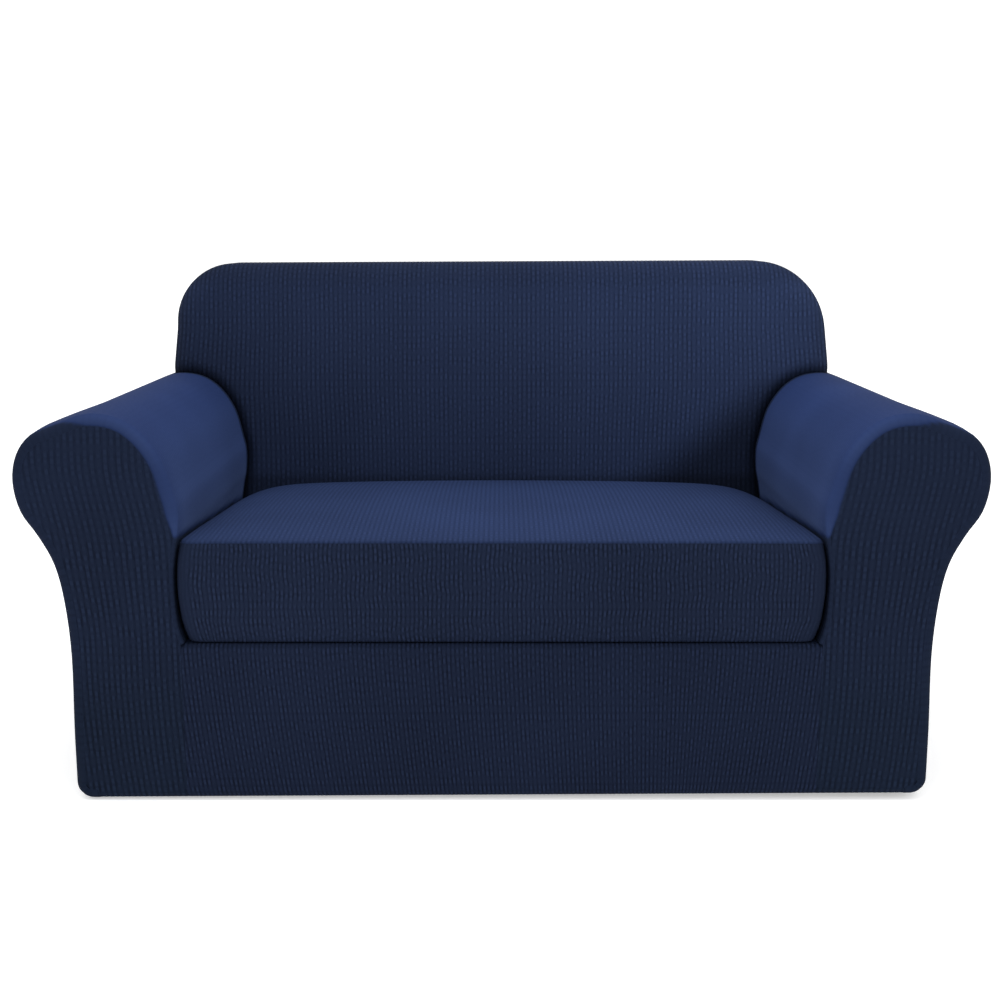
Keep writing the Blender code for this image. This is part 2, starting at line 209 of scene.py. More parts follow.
# %% [markdown]
# ## Trimming a pattern
#
# A panel's outline cuts across the columns of its grid. To trim it, each grid point gets its distance inside
# the outline, negative outside. Cells with no point inside are dropped. In the cells that the outline
# crosses, an outside point slides towards an inside neighbour until it lies on the outline, which is where
# the distance, taken to change evenly between the two, is nothing.


# %% Trimming
def inside_distance(x, z, outline):
    """Distance to the nearest side of a closed outline, positive inside it.

    On each side the nearest point is the projection, kept between the side's ends. A point is inside when
    a ray from it crosses the outline an odd number of times.
    """
    nearest = np.full(np.shape(x), 1e9)
    odd = np.zeros(np.shape(x), bool)
    for (x1, z1), (x2, z2) in zip(outline, np.roll(outline, -1, axis=0)):
        run, rise = x2 - x1, z2 - z1
        share = np.clip(((x - x1) * run + (z - z1) * rise) / (run * run + rise * rise + 1e-18), 0, 1)
        nearest = np.minimum(nearest, np.hypot(x - x1 - share * run, z - z1 - share * rise))
        if rise:
            odd ^= ((z1 > z) != (z2 > z)) & (x < x1 + run * (z - z1) / rise)
    return np.where(odd, nearest, -nearest)


DIAGONAL_COST = 0.02  # added to a slanting way, so that a straight one is taken where there is one
NEIGHBOURS = [(1, 0), (-1, 0), (0, 1), (0, -1), (1, 1), (1, -1), (-1, 1), (-1, -1)]


def trim(inside, *values):
    """The values with the grid's outside points slid to the edge, and a mask of the cells that stay.

    A point moves to p + s (q - p), where q is an inside neighbour and s = d_p / (d_p - d_q). Of all its
    inside neighbours it takes the one with the shortest way, and keeps to its own line on a border.
    """
    pattern = together(*values)
    rows, columns = inside.shape
    row, column = np.indices(inside.shape)
    best = np.full(inside.shape, np.inf)
    moved = pattern.copy()
    for down, over in NEIGHBOURS:
        r = np.clip(row + down, 0, rows - 1)
        c = np.clip(column + over, 0, columns - 1)
        share = inside / np.minimum(inside - inside[r, c], -1e-12)
        target = pattern + share[..., None] * (pattern[r, c] - pattern)
        way = np.linalg.norm(target - pattern, axis=-1)
        way = way + (down != 0 and over != 0) * DIAGONAL_COST
        way = way + ((over != 0) & np.isin(column, (0, columns - 1)))
        way = way + ((down != 0) & np.isin(row, (0, rows - 1)))
        better = (inside <= 0) & (inside[r, c] > 0) & (way < best)
        best = np.where(better, way, best)
        moved = np.where(better[..., None], target, moved)
    kept = (inside > 0).astype(int)
    cells = kept[:-1, :-1] + kept[1:, :-1] + kept[:-1, 1:] + kept[1:, 1:] > 0
    return *np.moveaxis(moved, -1, 0), cells


# %% [markdown]
# ## From a pattern to cloth
#
# A sheet of cloth has an outer face, an inner face and a thin rim. The outer face is the pattern bent to
# shape, with its ribs raised along the surface's normal. The inner face is the same surface moved inwards by
# the thickness. The rim joins the two along every edge that has only one cell beside it. Working this out
# with arrays keeps the ribs off the inner face and closes the rim exactly, which a modifier wouldn't do.


# %% Patches and pieces
def patch(points, ribs, along, cells=None, strength=1.0, pull=0.0, hem=False):
    """One bent grid: its points, rib and check coordinates, cells that stay, height of relief, and pull with
    painted light.
    """
    shape = points.shape[:2]
    cells = np.ones((shape[0] - 1, shape[1] - 1), bool) if cells is None else cells
    knit = together(ribs, along)
    raised = 0.5 + 0.5 * np.cos(2 * np.pi * knit[..., 0])
    relief = RIB_HEIGHT * raised * np.broadcast_to(strength, shape)
    if hem:
        relief = relief + hem_line(points[..., 2])
    return points, knit, cells, relief, np.broadcast_to(pull, shape)


def grid_cells(shape, cells):
    """The four corners of each cell that stays, as numbers of points counted along the rows."""
    number = np.arange(shape[0] * shape[1]).reshape(shape)
    corners = (number[:-1, :-1], number[:-1, 1:], number[1:, 1:], number[1:, :-1])
    return np.stack(corners, axis=-1)[cells]


def diagonal_cross(points, cells):
    """The cross product of each cell's diagonals: its normal, as long as twice its area."""
    return np.cross(points[cells[:, 2]] - points[cells[:, 0]], points[cells[:, 3]] - points[cells[:, 1]])


def point_normals(points, cells):
    """Unit normals: each point's sum of its cells' cross products of diagonals, made one long."""
    cross = diagonal_cross(points, cells)
    total = np.zeros_like(points)
    for corner in range(4):
        np.add.at(total, cells[:, corner], cross)
    return total / np.maximum(np.linalg.norm(total, axis=1), 1e-12)[:, None]


def hem_slant(points):
    """Raises what is low and far to the right: lift times how near the floor it is."""
    lift = HEM_RISE * (points[..., 0] + ARM_SECTION[-1][0])
    moved = points.copy()
    moved[..., 2] += lift * np.maximum(0, 1 - points[..., 2] / HEM_SLANT_TOP)
    return moved


SAME_POINT = 1e-5  # points of two patches that are nearer than this are one


def cloth(name, patches, core, slanted=True):
    """Sews patches where their points coincide, gives them ribs and thickness, and makes the object.

    Each patch's cells are turned to face away from the core, a point inside the sofa.
    """
    arrays, faces, count = [], [], 0
    for points, knit, cells, relief, pull in patches:
        found = grid_cells(points.shape[:2], cells)
        flat = points.reshape(-1, 3)
        away = ((flat[found].mean(axis=1) - core) * diagonal_cross(flat, found)).sum()
        faces.append((found if away > 0 else found[:, ::-1]) + count)
        arrays.append((flat, knit.reshape(-1, 2), relief.reshape(-1), pull.reshape(-1)))
        count += len(flat)
    points, knit, relief, pull = map(np.concatenate, zip(*arrays))
    faces = np.concatenate(faces)
    _, first, sewn = np.unique(np.round(points / SAME_POINT), axis=0, return_index=True, return_inverse=True)
    used, compact = np.unique(sewn.reshape(-1)[faces], return_inverse=True)
    corners = compact.reshape(faces.shape)
    base = points[first[used]]
    relief, pull = relief[first[used]], pull[first[used]]
    if slanted:
        base = hem_slant(base)
    following = np.roll(corners, -1, axis=1)
    there = corners * len(base) + following
    back = following * len(base) + corners
    rim = (corners != following) & ~np.isin(there, back)
    normals = point_normals(base, corners)
    relief[corners[rim]] = 0
    relief[following[rim]] = 0
    vertices = np.vstack([base + normals * relief[:, None], base - normals * SHEET])
    start, end = corners[rim], following[rim]
    rims = np.column_stack([end, start, start + len(base), end + len(base)])
    ends = np.roll(faces, -1, axis=1)[rim]
    rim_knit = np.column_stack([ends, faces[rim], faces[rim], ends])
    polygons = np.vstack([corners, corners[:, ::-1] + len(base), rims])
    polygon_knit = knit[np.vstack([faces, faces[:, ::-1], rim_knit])]
    return mesh_object(name, vertices, polygons, polygon_knit, np.concatenate([pull, pull]))


def add_object(name, data):
    """Makes an object of a mesh, lamp or camera and puts it in the scene."""
    made = bpy.data.objects.new(name, data)
    bpy.context.scene.collection.objects.link(made)
    return made


def mesh_object(name, vertices, polygons, knit, pull):
    """A mesh from arrays. A corner that repeats the one after it is dropped, which makes a triangle."""
    kept = polygons != np.roll(polygons, -1, axis=1)
    whole = kept.sum(axis=1) >= 3
    polygons, knit, kept = polygons[whole], knit[whole], kept[whole]
    sizes = kept.sum(axis=1)
    mesh = bpy.data.meshes.new(name)
    mesh.vertices.add(len(vertices))
    mesh.vertices.foreach_set("co", vertices.astype(np.float32).ravel())
    mesh.loops.add(int(sizes.sum()))
    mesh.loops.foreach_set("vertex_index", polygons[kept].astype(np.int32))
    mesh.polygons.add(len(polygons))
    mesh.polygons.foreach_set("loop_start", (np.cumsum(sizes) - sizes).astype(np.int32))
    mesh.update(calc_edges=True)
    mesh.uv_layers.new(name="knit")
    mesh.uv_layers["knit"].data.foreach_set("uv", knit[kept].astype(np.float32).ravel())
    mesh.attributes.new("pull", "FLOAT", "POINT").data.foreach_set("value", pull.astype(np.float32))
    mesh.validate()
    mesh.shade_smooth()
    mesh.set_sharp_from_angle(angle=math.radians(60))
    area = np.linalg.norm(diagonal_cross(vertices, polygons), axis=1).sum() / 4
    print(f"{name}: {2 * len(polygons)} triangles or fewer, {area:.3f} m² of cloth")
    return add_object(name, mesh)


# %% [markdown]
# ## Shapes that several panels share
#
# The arm's section, the form of the back and the way a panel's hem turns in under the sofa are each needed
# by more than one panel, so each is a function of its own.


# %% Arms
def arm_outline():
    """The right arm's section: inside, roll, outside, rounded lower corner and tucked hem."""
    centre = (ARM_SECTION[-1][0] - HEM_CORNER, HEM_CORNER)
    corner = arc(centre, HEM_CORNER, 0, -90, 16)
    return np.vstack([arm_wall[:-1], corner, corner[-1] - (HEM_TUCK, 0)])


def arm_edge(outline):
    """Edge radius along the section: narrow beside the cushion and full from there on."""
    share = ramp(outline[:, 1], NARROW_BELOW, FULL_EDGE_ABOVE - NARROW_BELOW)
    share[np.argmax(outline[:, 1]) :] = 1
    return NARROW_EDGE + (EDGE - NARROW_EDGE) * share


def rear_inset(y):
    """How far the rounded rear edge has drawn in at a depth: r - sqrt(r² - s²), s being the way into it."""
    into = np.clip(y - (REAR - EDGE), 0, EDGE)
    return EDGE - np.sqrt(EDGE**2 - into**2)


def inside_arm(points):
    """Distance inside the form of either arm."""
    return inside_distance(np.abs(points[..., 0]), points[..., 2], arm_outline()) - rear_inset(points[..., 1])


# %% Back
def back_half_width(height):
    """Half the back's width: constant above, and wider by the flare for each metre down to the arms."""
    return BACK_HALF_WIDTH + BACK_FLARE * (BACK_FLARE_TOP - np.clip(height, BACK_FLARE_FOOT, BACK_FLARE_TOP))


def back_outline():
    """The back from its lower left corner, clockwise: side, shoulder arc, top, shoulder arc, side."""
    heights = np.array(BACK_SIDE_HEIGHTS)
    right = np.column_stack([back_half_width(heights), heights])
    left = right * (-1, 1)
    first, second = (shoulder_centre(name) for name in SIDES)
    arcs = arc(first, SHOULDERS["left"], 180, 90, 24), arc(second, SHOULDERS["right"], 90, 0, 24)
    return np.vstack([left, *arcs, right[::-1]])


def shoulder_centre(name):
    """Centre of a shoulder's arc, its radius in from the side and down from the slightly sloping top."""
    radius = SHOULDERS[name]
    x = SIDES[name] * (BACK_HALF_WIDTH - radius)
    return x, BACK_TOP + BACK_TOP_RISE * x - radius


def back_face(height):
    """Depth of the reclined face at a height: a straight line leaning back by RECLINE."""
    return FRONT + BACK_FACE_DEPTH + RECLINE * (height - BACK_FACE_HEIGHT)


def back_crown(x, height):
    """Swelling of the face: (1 - u²)² (1 - v²)², u across and v up, nothing at the face's edges."""
    across = np.clip(x / (BACK_HALF_WIDTH - BACK_EDGE), -1, 1)
    up = np.clip((height - CROWN_MIDDLE) / CROWN_REACH, -1, 1)
    return BACK_CROWN * (1 - across**2) ** 2 * (1 - up**2) ** 2


def inside_back(points):
    """How far a point is inside the form of the back: the lesser of its way in from the outline and from
    the face, whose edge is a quarter round: r - sqrt(r² - s²), s being how far into that edge it is."""
    x, y, z = points[..., 0], points[..., 1], points[..., 2]
    margin = inside_distance(x, z, back_outline()) - rear_inset(y)
    into = np.clip(BACK_EDGE - margin, 0, BACK_EDGE)
    face = back_face(z) - back_crown(x, z) + BACK_EDGE - np.sqrt(BACK_EDGE**2 - into**2)
    return np.minimum(margin, y - face)


CREASE_DEPTH = 0.012  # the back's cloth is pulled in this far where it meets an arm
CREASE_WIDTH = 0.024
CREASE_END = REAR - 0.05  # no crease behind this depth


def creased(points):
    """Pushes the back's face in beside the arms: depth (1 - d / w)² at a distance d from the arm."""
    near = np.clip(1 + inside_arm(points) / CREASE_WIDTH, 0, 1)
    moved = points.copy()
    moved[..., 1] += CREASE_DEPTH * near**2 * ramp(points[..., 1], CREASE_END, -0.08)
    return moved


# %% Top of the cushion
def cushion_rear(height):
    """Depth of the cushion's rear at a height: the back's face, less its crown and a clearance."""
    return back_face(height) - BACK_CROWN - CUSHION_CLEAR


def cushion_top_height(x, y):
    """Crowned top: 4 c s (1 - s) from front to rear, less a drop that grows with powers of the way out.

    The drop starts at the front edge as sin(pi s / 2 w), and is full from s = w.
    """
    share = (y - CUSHION_FRONT) / (cushion_rear(TOP_FRONT) - CUSHION_FRONT)
    across = np.clip(np.abs(x) / CUSHION_HALF_WIDTH, 0, 1)
    middle = TOP_FRONT + TOP_CROWN * 4 * share * (1 - share) - TOP_FALL * share
    drop = TOP_SIDE_DROP * across**2 + TOP_CORNER_DROP * across**12
    return middle - np.sin(np.pi / 2 * np.clip(share / DROP_DEPTH, 0, 1)) * drop


# %% Hems
def turned_hem(across, unfolded, face_y, turn):
    """Bends a flat panel's lowest strip in under the sofa: below the radius, height becomes an angle."""
    radius = PANEL_INSET
    angle = np.clip((radius - unfolded) / radius, 0, math.pi / 2)
    y = face_y + turn * radius * (1 - np.cos(angle))
    return together(across, y, np.maximum(unfolded, radius) - radius * np.sin(angle))


def panel_rows(*runs):
    """Heights of a panel's rows, from the hem's edge up: evenly spaced in each run of (end, steps)."""
    ends = [HEM_END, *(end for end, _ in runs)]
    spans = [np.linspace(low, high, steps + 1)[:-1] for low, (high, steps) in zip(ends, runs)]
    return np.concatenate([*spans, [ends[-1]]])[:, None]


def hem_line(height):
    """The groove of the hem's stitching: its depth times exp(-((z - height) / width)²)."""
    return -HEM_GROOVE * np.exp(-(((height - HEM_LINE) / HEM_LINE_WIDTH) ** 2))


ON_EDGE = 1e-9  # keeps the points of a grid's own edge inside
HEM_LINE = 0.010
HEM_LINE_WIDTH = 0.0016
HEM_GROOVE = 0.0006
HEM_END = PANEL_INSET * (1 - math.pi / 2)  # the unfolded height of the hem's edge
HEM_RUN = (PANEL_INSET, 16)
HEM_REACH = arm_outline()[-1][0]
print("the hem is turned in over", round(PANEL_INSET - HEM_END, 4), "m")

# %% [markdown]
# ## Arms
#
# Each arm is one length of cloth, laid over the inside, the roll and the outside of the arm. Its ribs run
# over the arm, so every column of the grid follows the arm's section, and the columns step from front to
# rear. At both ends the cloth turns a rounded edge. Inside, it stops at the face of the back, and outside it
# goes on to the rear. A loft between two sections would make the same surface without its ribs.


# %% Pull and painted light on the arms
ROLL_SWELL = 0.0035
SWELL_MIDDLE = 0.765  # x of the swelling, how far it reaches, and the height it keeps above
SWELL_REACH = 0.065
SWELL_ABOVE = 0.60
TOP_PULL_AND_PAINTED_LIGHT = 0.25  # where the knit has the colour of the arm's top, a copy painted lighter; 1 is the colour of the lowest inside, painted lightest
STEM_PULL_AND_PAINTED_LIGHT = 0.02  # on the facing above the foot; the darker foot is painted shade near the floor
ROLL_PULL_AND_PAINTED_LIGHT = 0.06  # on the roll's front, smoother and painted a little lighter
TURN_PAINTED_LIGHT = 1.5  # painted light on the rounded front edge, this many times that of the arm's top, so that the edge, which faces the lamp less, looks as light as the top
FIRST_RIB = 2.75 * WIDE_RIB  # the rounded front edge is smooth up to here
INSIDE_PAINTED_LIGHT = 0.14  # painted light added on the arm's inside, where the seat and the other arm keep light off
LOW_PAINTED_LIGHT = 0.62  # painted light added at the height of the seat, where the arm lies deepest in shade, from where it falls off over LOW_FADE
LOW_FADE = 0.04
SEAT_LINE = 0.470
FRONT_SHARE = 0.30  # of INSIDE_PAINTED_LIGHT and LOW_PAINTED_LIGHT, that is left at the arm's front edge
CREST, OUTER_START, OUTER_END = 12, 13, 16  # points of ARM_SECTION between which the pull and painted light end towards the outside, which is painted darker as shade
ARM_MIDDLE = (0.665, 0.38)  # (x, z) of a point inside the right arm
BEFORE_SEAM = 0.004  # the pull and painted light start this far before the front seam
OUTSIDE_LAG = 0.021  # and this much further on towards the outside
SEAM_FADE = 0.011
REAR_SHARE, REAR_FADE = 0.4, 0.009  # of the pull and painted light, left at the rear seam, and how soon it is whole again
# Ramps of depth, height or distance, each as (start, width)
SWELL_RISE, SWELL_FALL = (0, 0.06), (0.10, 0.32)
STEM_RISE, ROLL_RISE = (0.12, 0.20), (0.40, 0.14)
INSIDE_RISE = (0.67, -0.10)
FRONT_RISE = (FRONT, 0.08)
CUSHION_SHADE_RISE = (0.002, 0.014)  # painted shade just above the cushion, where the arm meets it
OUTSIDE_RISE = (0.690, 0.060)
TURN_FALL, TURN_RISE = (0.014, 0.016), (0.57, 0.08)
BACK_RISE = (0.009, 0.014)  # painted shade in the back's crease, fading away from it


def roll_swell(outline, depth):
    """The padding swells a little on the outer shoulder of the roll, behind the facing: a hump in depth
    times a hump across the section."""
    along = ramp(depth, *SWELL_RISE) * (1 - ramp(depth, *SWELL_FALL))
    across = ramp(1 - np.abs(outline[:, :1] - SWELL_MIDDLE) / SWELL_REACH, 0, 1)
    across = across * (outline[:, 1:] > SWELL_ABOVE)
    return ROLL_SWELL * along * across


def facing_pull_and_painted_light(height):
    """The knit of a facing is a little smoother from the foot up to the roll, and painted lighter there, with
    painted shade towards the floor.
    """
    roll = (ROLL_PULL_AND_PAINTED_LIGHT - STEM_PULL_AND_PAINTED_LIGHT) * ramp(height, *ROLL_RISE)
    return STEM_PULL_AND_PAINTED_LIGHT * ramp(height, *STEM_RISE) + roll


def arm_pull_and_painted_light(points, reach):
    """How far the knit is stretched open, with painted light: none on the outside and below the seat, most
    low on the inside, where painted light stands in for light that the seat and the other arm keep off.

    Above the seat it falls off as exp(-rise / LOW_FADE), to the level of the arm's top. Right beside the
    cushion it falls to nothing, painted shade where the two meet, and it is less near the front edge.
    """
    height = points[..., 2]
    rise = np.maximum(0, height - SEAT_LINE)
    inner = INSIDE_PAINTED_LIGHT * ramp(height, *INSIDE_RISE) + fading(rise, LOW_PAINTED_LIGHT, LOW_FADE)
    above_seat = height - cushion_top_height(CUSHION_HALF_WIDTH, points[..., 1])
    inner = inner * (FRONT_SHARE + (1 - FRONT_SHARE) * ramp(points[..., 1], *FRONT_RISE))
    inner = (TOP_PULL_AND_PAINTED_LIGHT + inner) * ramp(above_seat, *CUSHION_SHADE_RISE)
    ends = lengths(arm_outline())
    crest, first, last = (ends[number * SECTION_STEPS] for number in (CREST, OUTER_START, OUTER_END))
    outer = TOP_PULL_AND_PAINTED_LIGHT * (1 - ramp(reach, first, last - first))
    return np.where(reach < crest, inner, outer)


def seam_share(points, past_seam):
    """Share of the pull and painted light at a distance past the front seam, from the facing towards the
    arm's cloth. Inside and over the crest it starts a little before the seam, and towards the outside only
    round the edge."""
    outside = ramp(np.abs(points[..., 0]), *OUTSIDE_RISE)
    return ramp(past_seam + BEFORE_SEAM, OUTSIDE_LAG * outside, SEAM_FADE)


def turn_painted_light(height, from_front):
    """Extra painted light over the rounded front edge of the roll, which faces the lamp less, fading out
    behind the edge.
    """
    near = 1 - ramp(from_front, *TURN_FALL)
    return 1 + (TURN_PAINTED_LIGHT - 1) * near * ramp(height, *TURN_RISE)


# %% Arm cloths
def arm_cloth(name):
    """Section point plus inward normal times the edge's inset, at the depth where that edge has got to.

    Along the grid's columns the edge's angle, or the straight part's share, grows from front to rear.
    """
    side, outline = SIDES[name], arm_outline()
    edge = arm_edge(outline)[:, None]
    turn = math.pi / 2 * EDGE
    ends = LIP, LIP + turn, LIP + turn + DEPTH - FACING_CROWN - 2 * EDGE
    columns = rib_columns(0, ends[2] + turn + LIP, WIDE_RIB)[None]
    angle = np.clip((columns - ends[0]) / turn, 0, 1) * math.pi / 2
    rear_angle = np.clip((columns - ends[2]) / turn, 0, 1) * math.pi / 2
    middle = np.clip((columns - ends[1]) / (ends[2] - ends[1]), 0, 1)
    lip = np.maximum(0, LIP - columns) + np.maximum(0, columns - ends[2] - turn)
    inset = edge * (1 - np.sin(angle)) + edge * (1 - np.cos(rear_angle)) + lip
    depth = FRONT + edge * (1 - np.cos(angle)) + edge * np.sin(rear_angle)
    depth = depth + middle * (REAR - FRONT - 2 * edge)
    inset = inset - roll_swell(outline, depth - FRONT)
    normal = right_of(outline)
    x = side * (outline[:, :1] + normal[:, :1] * inset)
    z = outline[:, 1:] + normal[:, 1:] * inset
    end = columns[0, -1]
    inside = CREASE_DEPTH - inside_back(together(x, depth, z))
    x, y, z, from_front, along, cells = trim(inside, x, depth, z, columns, lengths(outline)[:, None])
    points, from_rear = together(x, y, z), end - from_front
    # The pull holds painted light too: the arm's top, its inside and its rounded front edge are painted
    # lighter, and painted shade lies beside the cushion, in the back's crease and on the outside.
    pull = arm_pull_and_painted_light(points, along) * seam_share(points, from_front) * turn_painted_light(z, from_front)
    pull = pull * (REAR_SHARE + (1 - REAR_SHARE) * ramp(from_rear, 0, REAR_FADE))
    pull = pull * ramp(CREASE_DEPTH - inside_back(points), *BACK_RISE)
    pull = np.maximum(pull, facing_pull_and_painted_light(z))
    strength = STRETCHED * ramp(np.minimum(from_front, from_rear), 0, FADE)
    ribs = np.maximum(from_front, FIRST_RIB) / WIDE_RIB
    piece = patch(points, ribs, along / CHECK, cells, strength, pull, hem=True)
    return cloth(f"arm_cloth_{name}", [piece], (side * ARM_MIDDLE[0], 0, ARM_MIDDLE[1]))


arm_cloths = {name: arm_cloth(name) for name in SIDES}

# %% [markdown]
# ## Facings of the arms
#
# A facing closes the front of an arm. It is a flat, slightly crowned panel with upright ribs, a little
# further apart on the roll, where the cloth is stretched. Its pattern is a plain grid, trimmed to the arm's
# outline less the rounded edge that the arm's own cloth covers.

# %% Facings
FACING_STRETCH = 0.125
FACING_LEAN = 0.014  # how far the ribs run inwards at the foot
FACING_SHIFT = 0.022  # and outwards on the roll
LEAN_BELOW, LEAN_CURVE = 0.22, 1.5
FAN_RISE, SHIFT_RISE = (0.28, 0.215), (0.45, 0.16)
FACING_SPARE, FACING_WIDTH = 0.016, 0.235  # the grid's reach to either side of the inner edge
CROWN_WIDTH = 0.075
FACING_TOP = 0.668
SKIRT_TOP = 0.05  # the hem's strip goes up to here, inside the facing's outline


def facing_cloth(name):
    """Crowned by a ramp of the way in from the outline; the columns fan out above the stem."""
    side, outline = SIDES[name], arm_outline()
    outline = outline + right_of(outline) * (arm_edge(outline) + LIP + GAP)[:, None]
    outline[-1] -= (GAP, 0)
    inner = outline[0][0]
    ring = np.vstack([outline, (inner, outline[-1][1])])
    columns = rib_columns(inner - FACING_SPARE, inner + FACING_WIDTH, WIDE_RIB)[None]
    rows = panel_rows(HEM_RUN, (FACING_TOP, 59))
    fan = 1 + FACING_STRETCH * ramp(rows, *FAN_RISE)
    shift = FACING_SHIFT * ramp(rows, *SHIFT_RISE)
    shift = shift - FACING_LEAN * np.clip(1 - rows / LEAN_BELOW, 0, 1) ** LEAN_CURVE
    x = inner + (columns - inner) * fan + shift
    x, z = np.broadcast_arrays(x, rows)
    inward, outward = np.minimum(x - inner, z - HEM_END), np.minimum(outline[-1][0] - x, SKIRT_TOP - z)
    skirt = np.minimum(inward + ON_EDGE, outward)
    margin = np.maximum(inside_distance(x, z, ring), skirt)
    x, z, ribs, margin, cells = trim(margin, x, z, (columns - inner) / WIDE_RIB, margin)
    margin = np.maximum(0, inside_distance(x, z, ring))
    points = turned_hem(side * x, z, FRONT, 1)
    points[..., 1] -= FACING_CROWN * ramp(margin, 0, CROWN_WIDTH)
    strength = ramp(margin + (z < SKIRT_TOP) * FADE, 0, FADE)
    # As on the arm, the pull holds painted light and shade: lighter towards the roll, painted shade towards
    # the floor.
    pull = np.maximum(arm_pull_and_painted_light(points, 0) * seam_share(points, -margin), facing_pull_and_painted_light(z))
    piece = patch(points, ribs, z / CHECK, cells, strength, pull, hem=True)
    return cloth(f"facing_cloth_{name}", [piece], (side * ARM_MIDDLE[0], 0, ARM_MIDDLE[1]))


facing_cloths = {name: facing_cloth(name) for name in SIDES}

# %% [markdown]
# ## Back
#
# The back's cloth covers its face, goes over the rounded edge and runs on to the rear seam. The ribs stand
# upright on the face and continue over the top, so one set of columns serves both. They lean in a little
# towards the seat, where the arms pull the cloth. Two side strips join the face's outermost columns. All
# four parts meet in the same points, and the form of the arms trims them below.

# %% Back cloth
BACK_LEAN, BACK_LEAN_CURVE, BACK_LEAN_FALL = 0.016, 1.5, (0.86, -0.40)
BACK_ROWS = 50
TURN_STEPS = 7  # round the face's edge
FINE_COLUMNS = (0.0001, 0.0005, 0.0012)  # extra columns, this far inside the face's sides
BACK_DARKEST = 0.15  # shares of the back's colour at the darkest painted shade and at the lightest painted light
BACK_LIGHTEST = 1.45
# Painted light and shade on the back: lighter to the right, painted shade in the creases beside the arms and
# more on the left, a painted shadow of the right arm in the right-hand corner, and painted shade just above
# the seat and over the top edge.
LEFT_LIGHT, RIGHT_GAIN, GAIN_RISE = 0.76, 0.44, (-0.15, 0.75)
CREASE_LOSS = (0.62, 0.009)  # losses of light, as (share, distance over which it fades)
LEFT_LOSS = (0.20, 0.15)
SEAT_LOSS = (0.35, 0.006)
SEAT_TOUCH = 0.464  # height where the cushion touches the back
CORNER_POINT, CORNER_SLANT = (0.305, 0.485), (0.603, 0.797)  # a line across the right-hand corner, below which the arm's shadow is painted
CORNER_LOSS, CORNER_RISE, CORNER_FALL = 0.68, (-0.03, 0.11), (0.70, -0.05)
EDGE_LOSS, EDGE_RISE = 0.28, (0.86, 0.04)


def back_top_height(x):
    """Upper edge of the face, an edge radius inside the outline: the shoulder arcs, and a line between."""
    left, right = shoulder_centre("left"), shoulder_centre("right")
    left_radius, right_radius = SHOULDERS["left"] - BACK_EDGE, SHOULDERS["right"] - BACK_EDGE
    share = np.clip((x - left[0]) / (right[0] - left[0]), 0, 1)
    height = (1 - share) * (left[1] + left_radius) + share * (right[1] + right_radius)
    height = height - left_radius + np.sqrt(left_radius**2 - np.clip(left[0] - x, 0, left_radius) ** 2)
    return height - right_radius + np.sqrt(right_radius**2 - np.clip(x - right[0], 0, right_radius) ** 2)


def back_edge_rows():
    """(outwards, backwards, straight share, rear turn) for each row of the strip behind the face."""
    quarter = np.linspace(0, math.pi / 2, TURN_STEPS + 1)
    turn = [(BACK_EDGE * math.sin(a), BACK_EDGE * (1 - math.cos(a)), 0, 0) for a in quarter]
    side = [(BACK_EDGE, BACK_EDGE, share, 0) for share in np.linspace(0, 1, 7)[1:]]
    quarter = np.linspace(0, math.pi / 2, 7)[1:]
    rear = [(BACK_EDGE - EDGE * (1 - math.cos(a)), BACK_EDGE, 1, math.sin(a)) for a in quarter]
    return np.array([*turn, *side, *rear, (BACK_EDGE - EDGE - LIP, BACK_EDGE, 1, 1)])


def strip_behind(line, outwards):
    """Carries a line of (x, z) points round the edge and back: point plus normal times the way out."""
    way = back_edge_rows()[:, None, :]
    x = line[None, :, 0] + outwards[None, :, 0] * way[..., 0]
    z = line[None, :, 1] + outwards[None, :, 1] * way[..., 0]
    start = back_face(z) + way[..., 1]
    straight = (REAR - EDGE - start) * way[..., 2]
    return together(x, start + straight + EDGE * way[..., 3], z)


def back_cloth():
    """Face points (x, face depth less crown, z) on upright columns, and strips behind its top and sides."""
    half = BACK_HALF_WIDTH - BACK_EDGE
    columns = rib_columns(-half, half, WIDE_RIB)
    fine = half - np.array(FINE_COLUMNS)
    columns = np.sort(np.concatenate([columns, fine, -fine]))
    share = np.linspace(0, 1, BACK_ROWS + 1)[:, None]
    foot = DECK - SHEET
    z = foot + share * (back_top_height(columns)[None] - foot)
    across = np.abs(columns) / half
    lean = BACK_LEAN * np.sin(np.pi * across**BACK_LEAN_CURVE) * ramp(z, *BACK_LEAN_FALL)
    widening = (back_half_width(z) - BACK_EDGE) / half
    x = columns[None] * widening - np.sign(columns) * lean
    face = together(x, back_face(z) - back_crown(x, z), z)
    top_line = face[-1][:, [0, 2]]
    (left, left_z), (right, right_z) = (shoulder_centre(name) for name in SIDES)
    x, z_top = top_line.T
    below = np.where(x < left, left_z, np.where(x > right, right_z, z_top - 1))
    outwards = top_line - together(np.clip(x, left, right), below)
    outwards /= np.linalg.norm(outwards, axis=1)[:, None]
    top = strip_behind(top_line, outwards)
    side_fade = ramp(np.abs(columns), half, -FADE)[None]
    behind = lengths(top[:, len(columns) // 2, 1:])[:, None]
    upright = outwards[None, :, 1] ** 2
    patches = [trimmed_back(face, columns[None] / WIDE_RIB, z / CHECK, side_fade)]
    ribs = ribs_behind(columns, outwards[:, 0], behind)
    patches.append(trimmed_back(top, ribs, (z[-1:] + upright * behind) / CHECK, side_fade * upright**2))
    for column, sign in ((0, -1), (-1, 1)):
        line = face[:, column][:, [0, 2]]
        points = strip_behind(line, np.tile((sign, 0.0), (len(line), 1)))
        ribs = ribs_behind(np.array([columns[column]]), np.array([sign]), behind)
        patches.append(trimmed_back(points, ribs, line[None, :, 1] / CHECK, 0))
    return cloth("back_cloth", patches, (0, 0.40, 0.60))


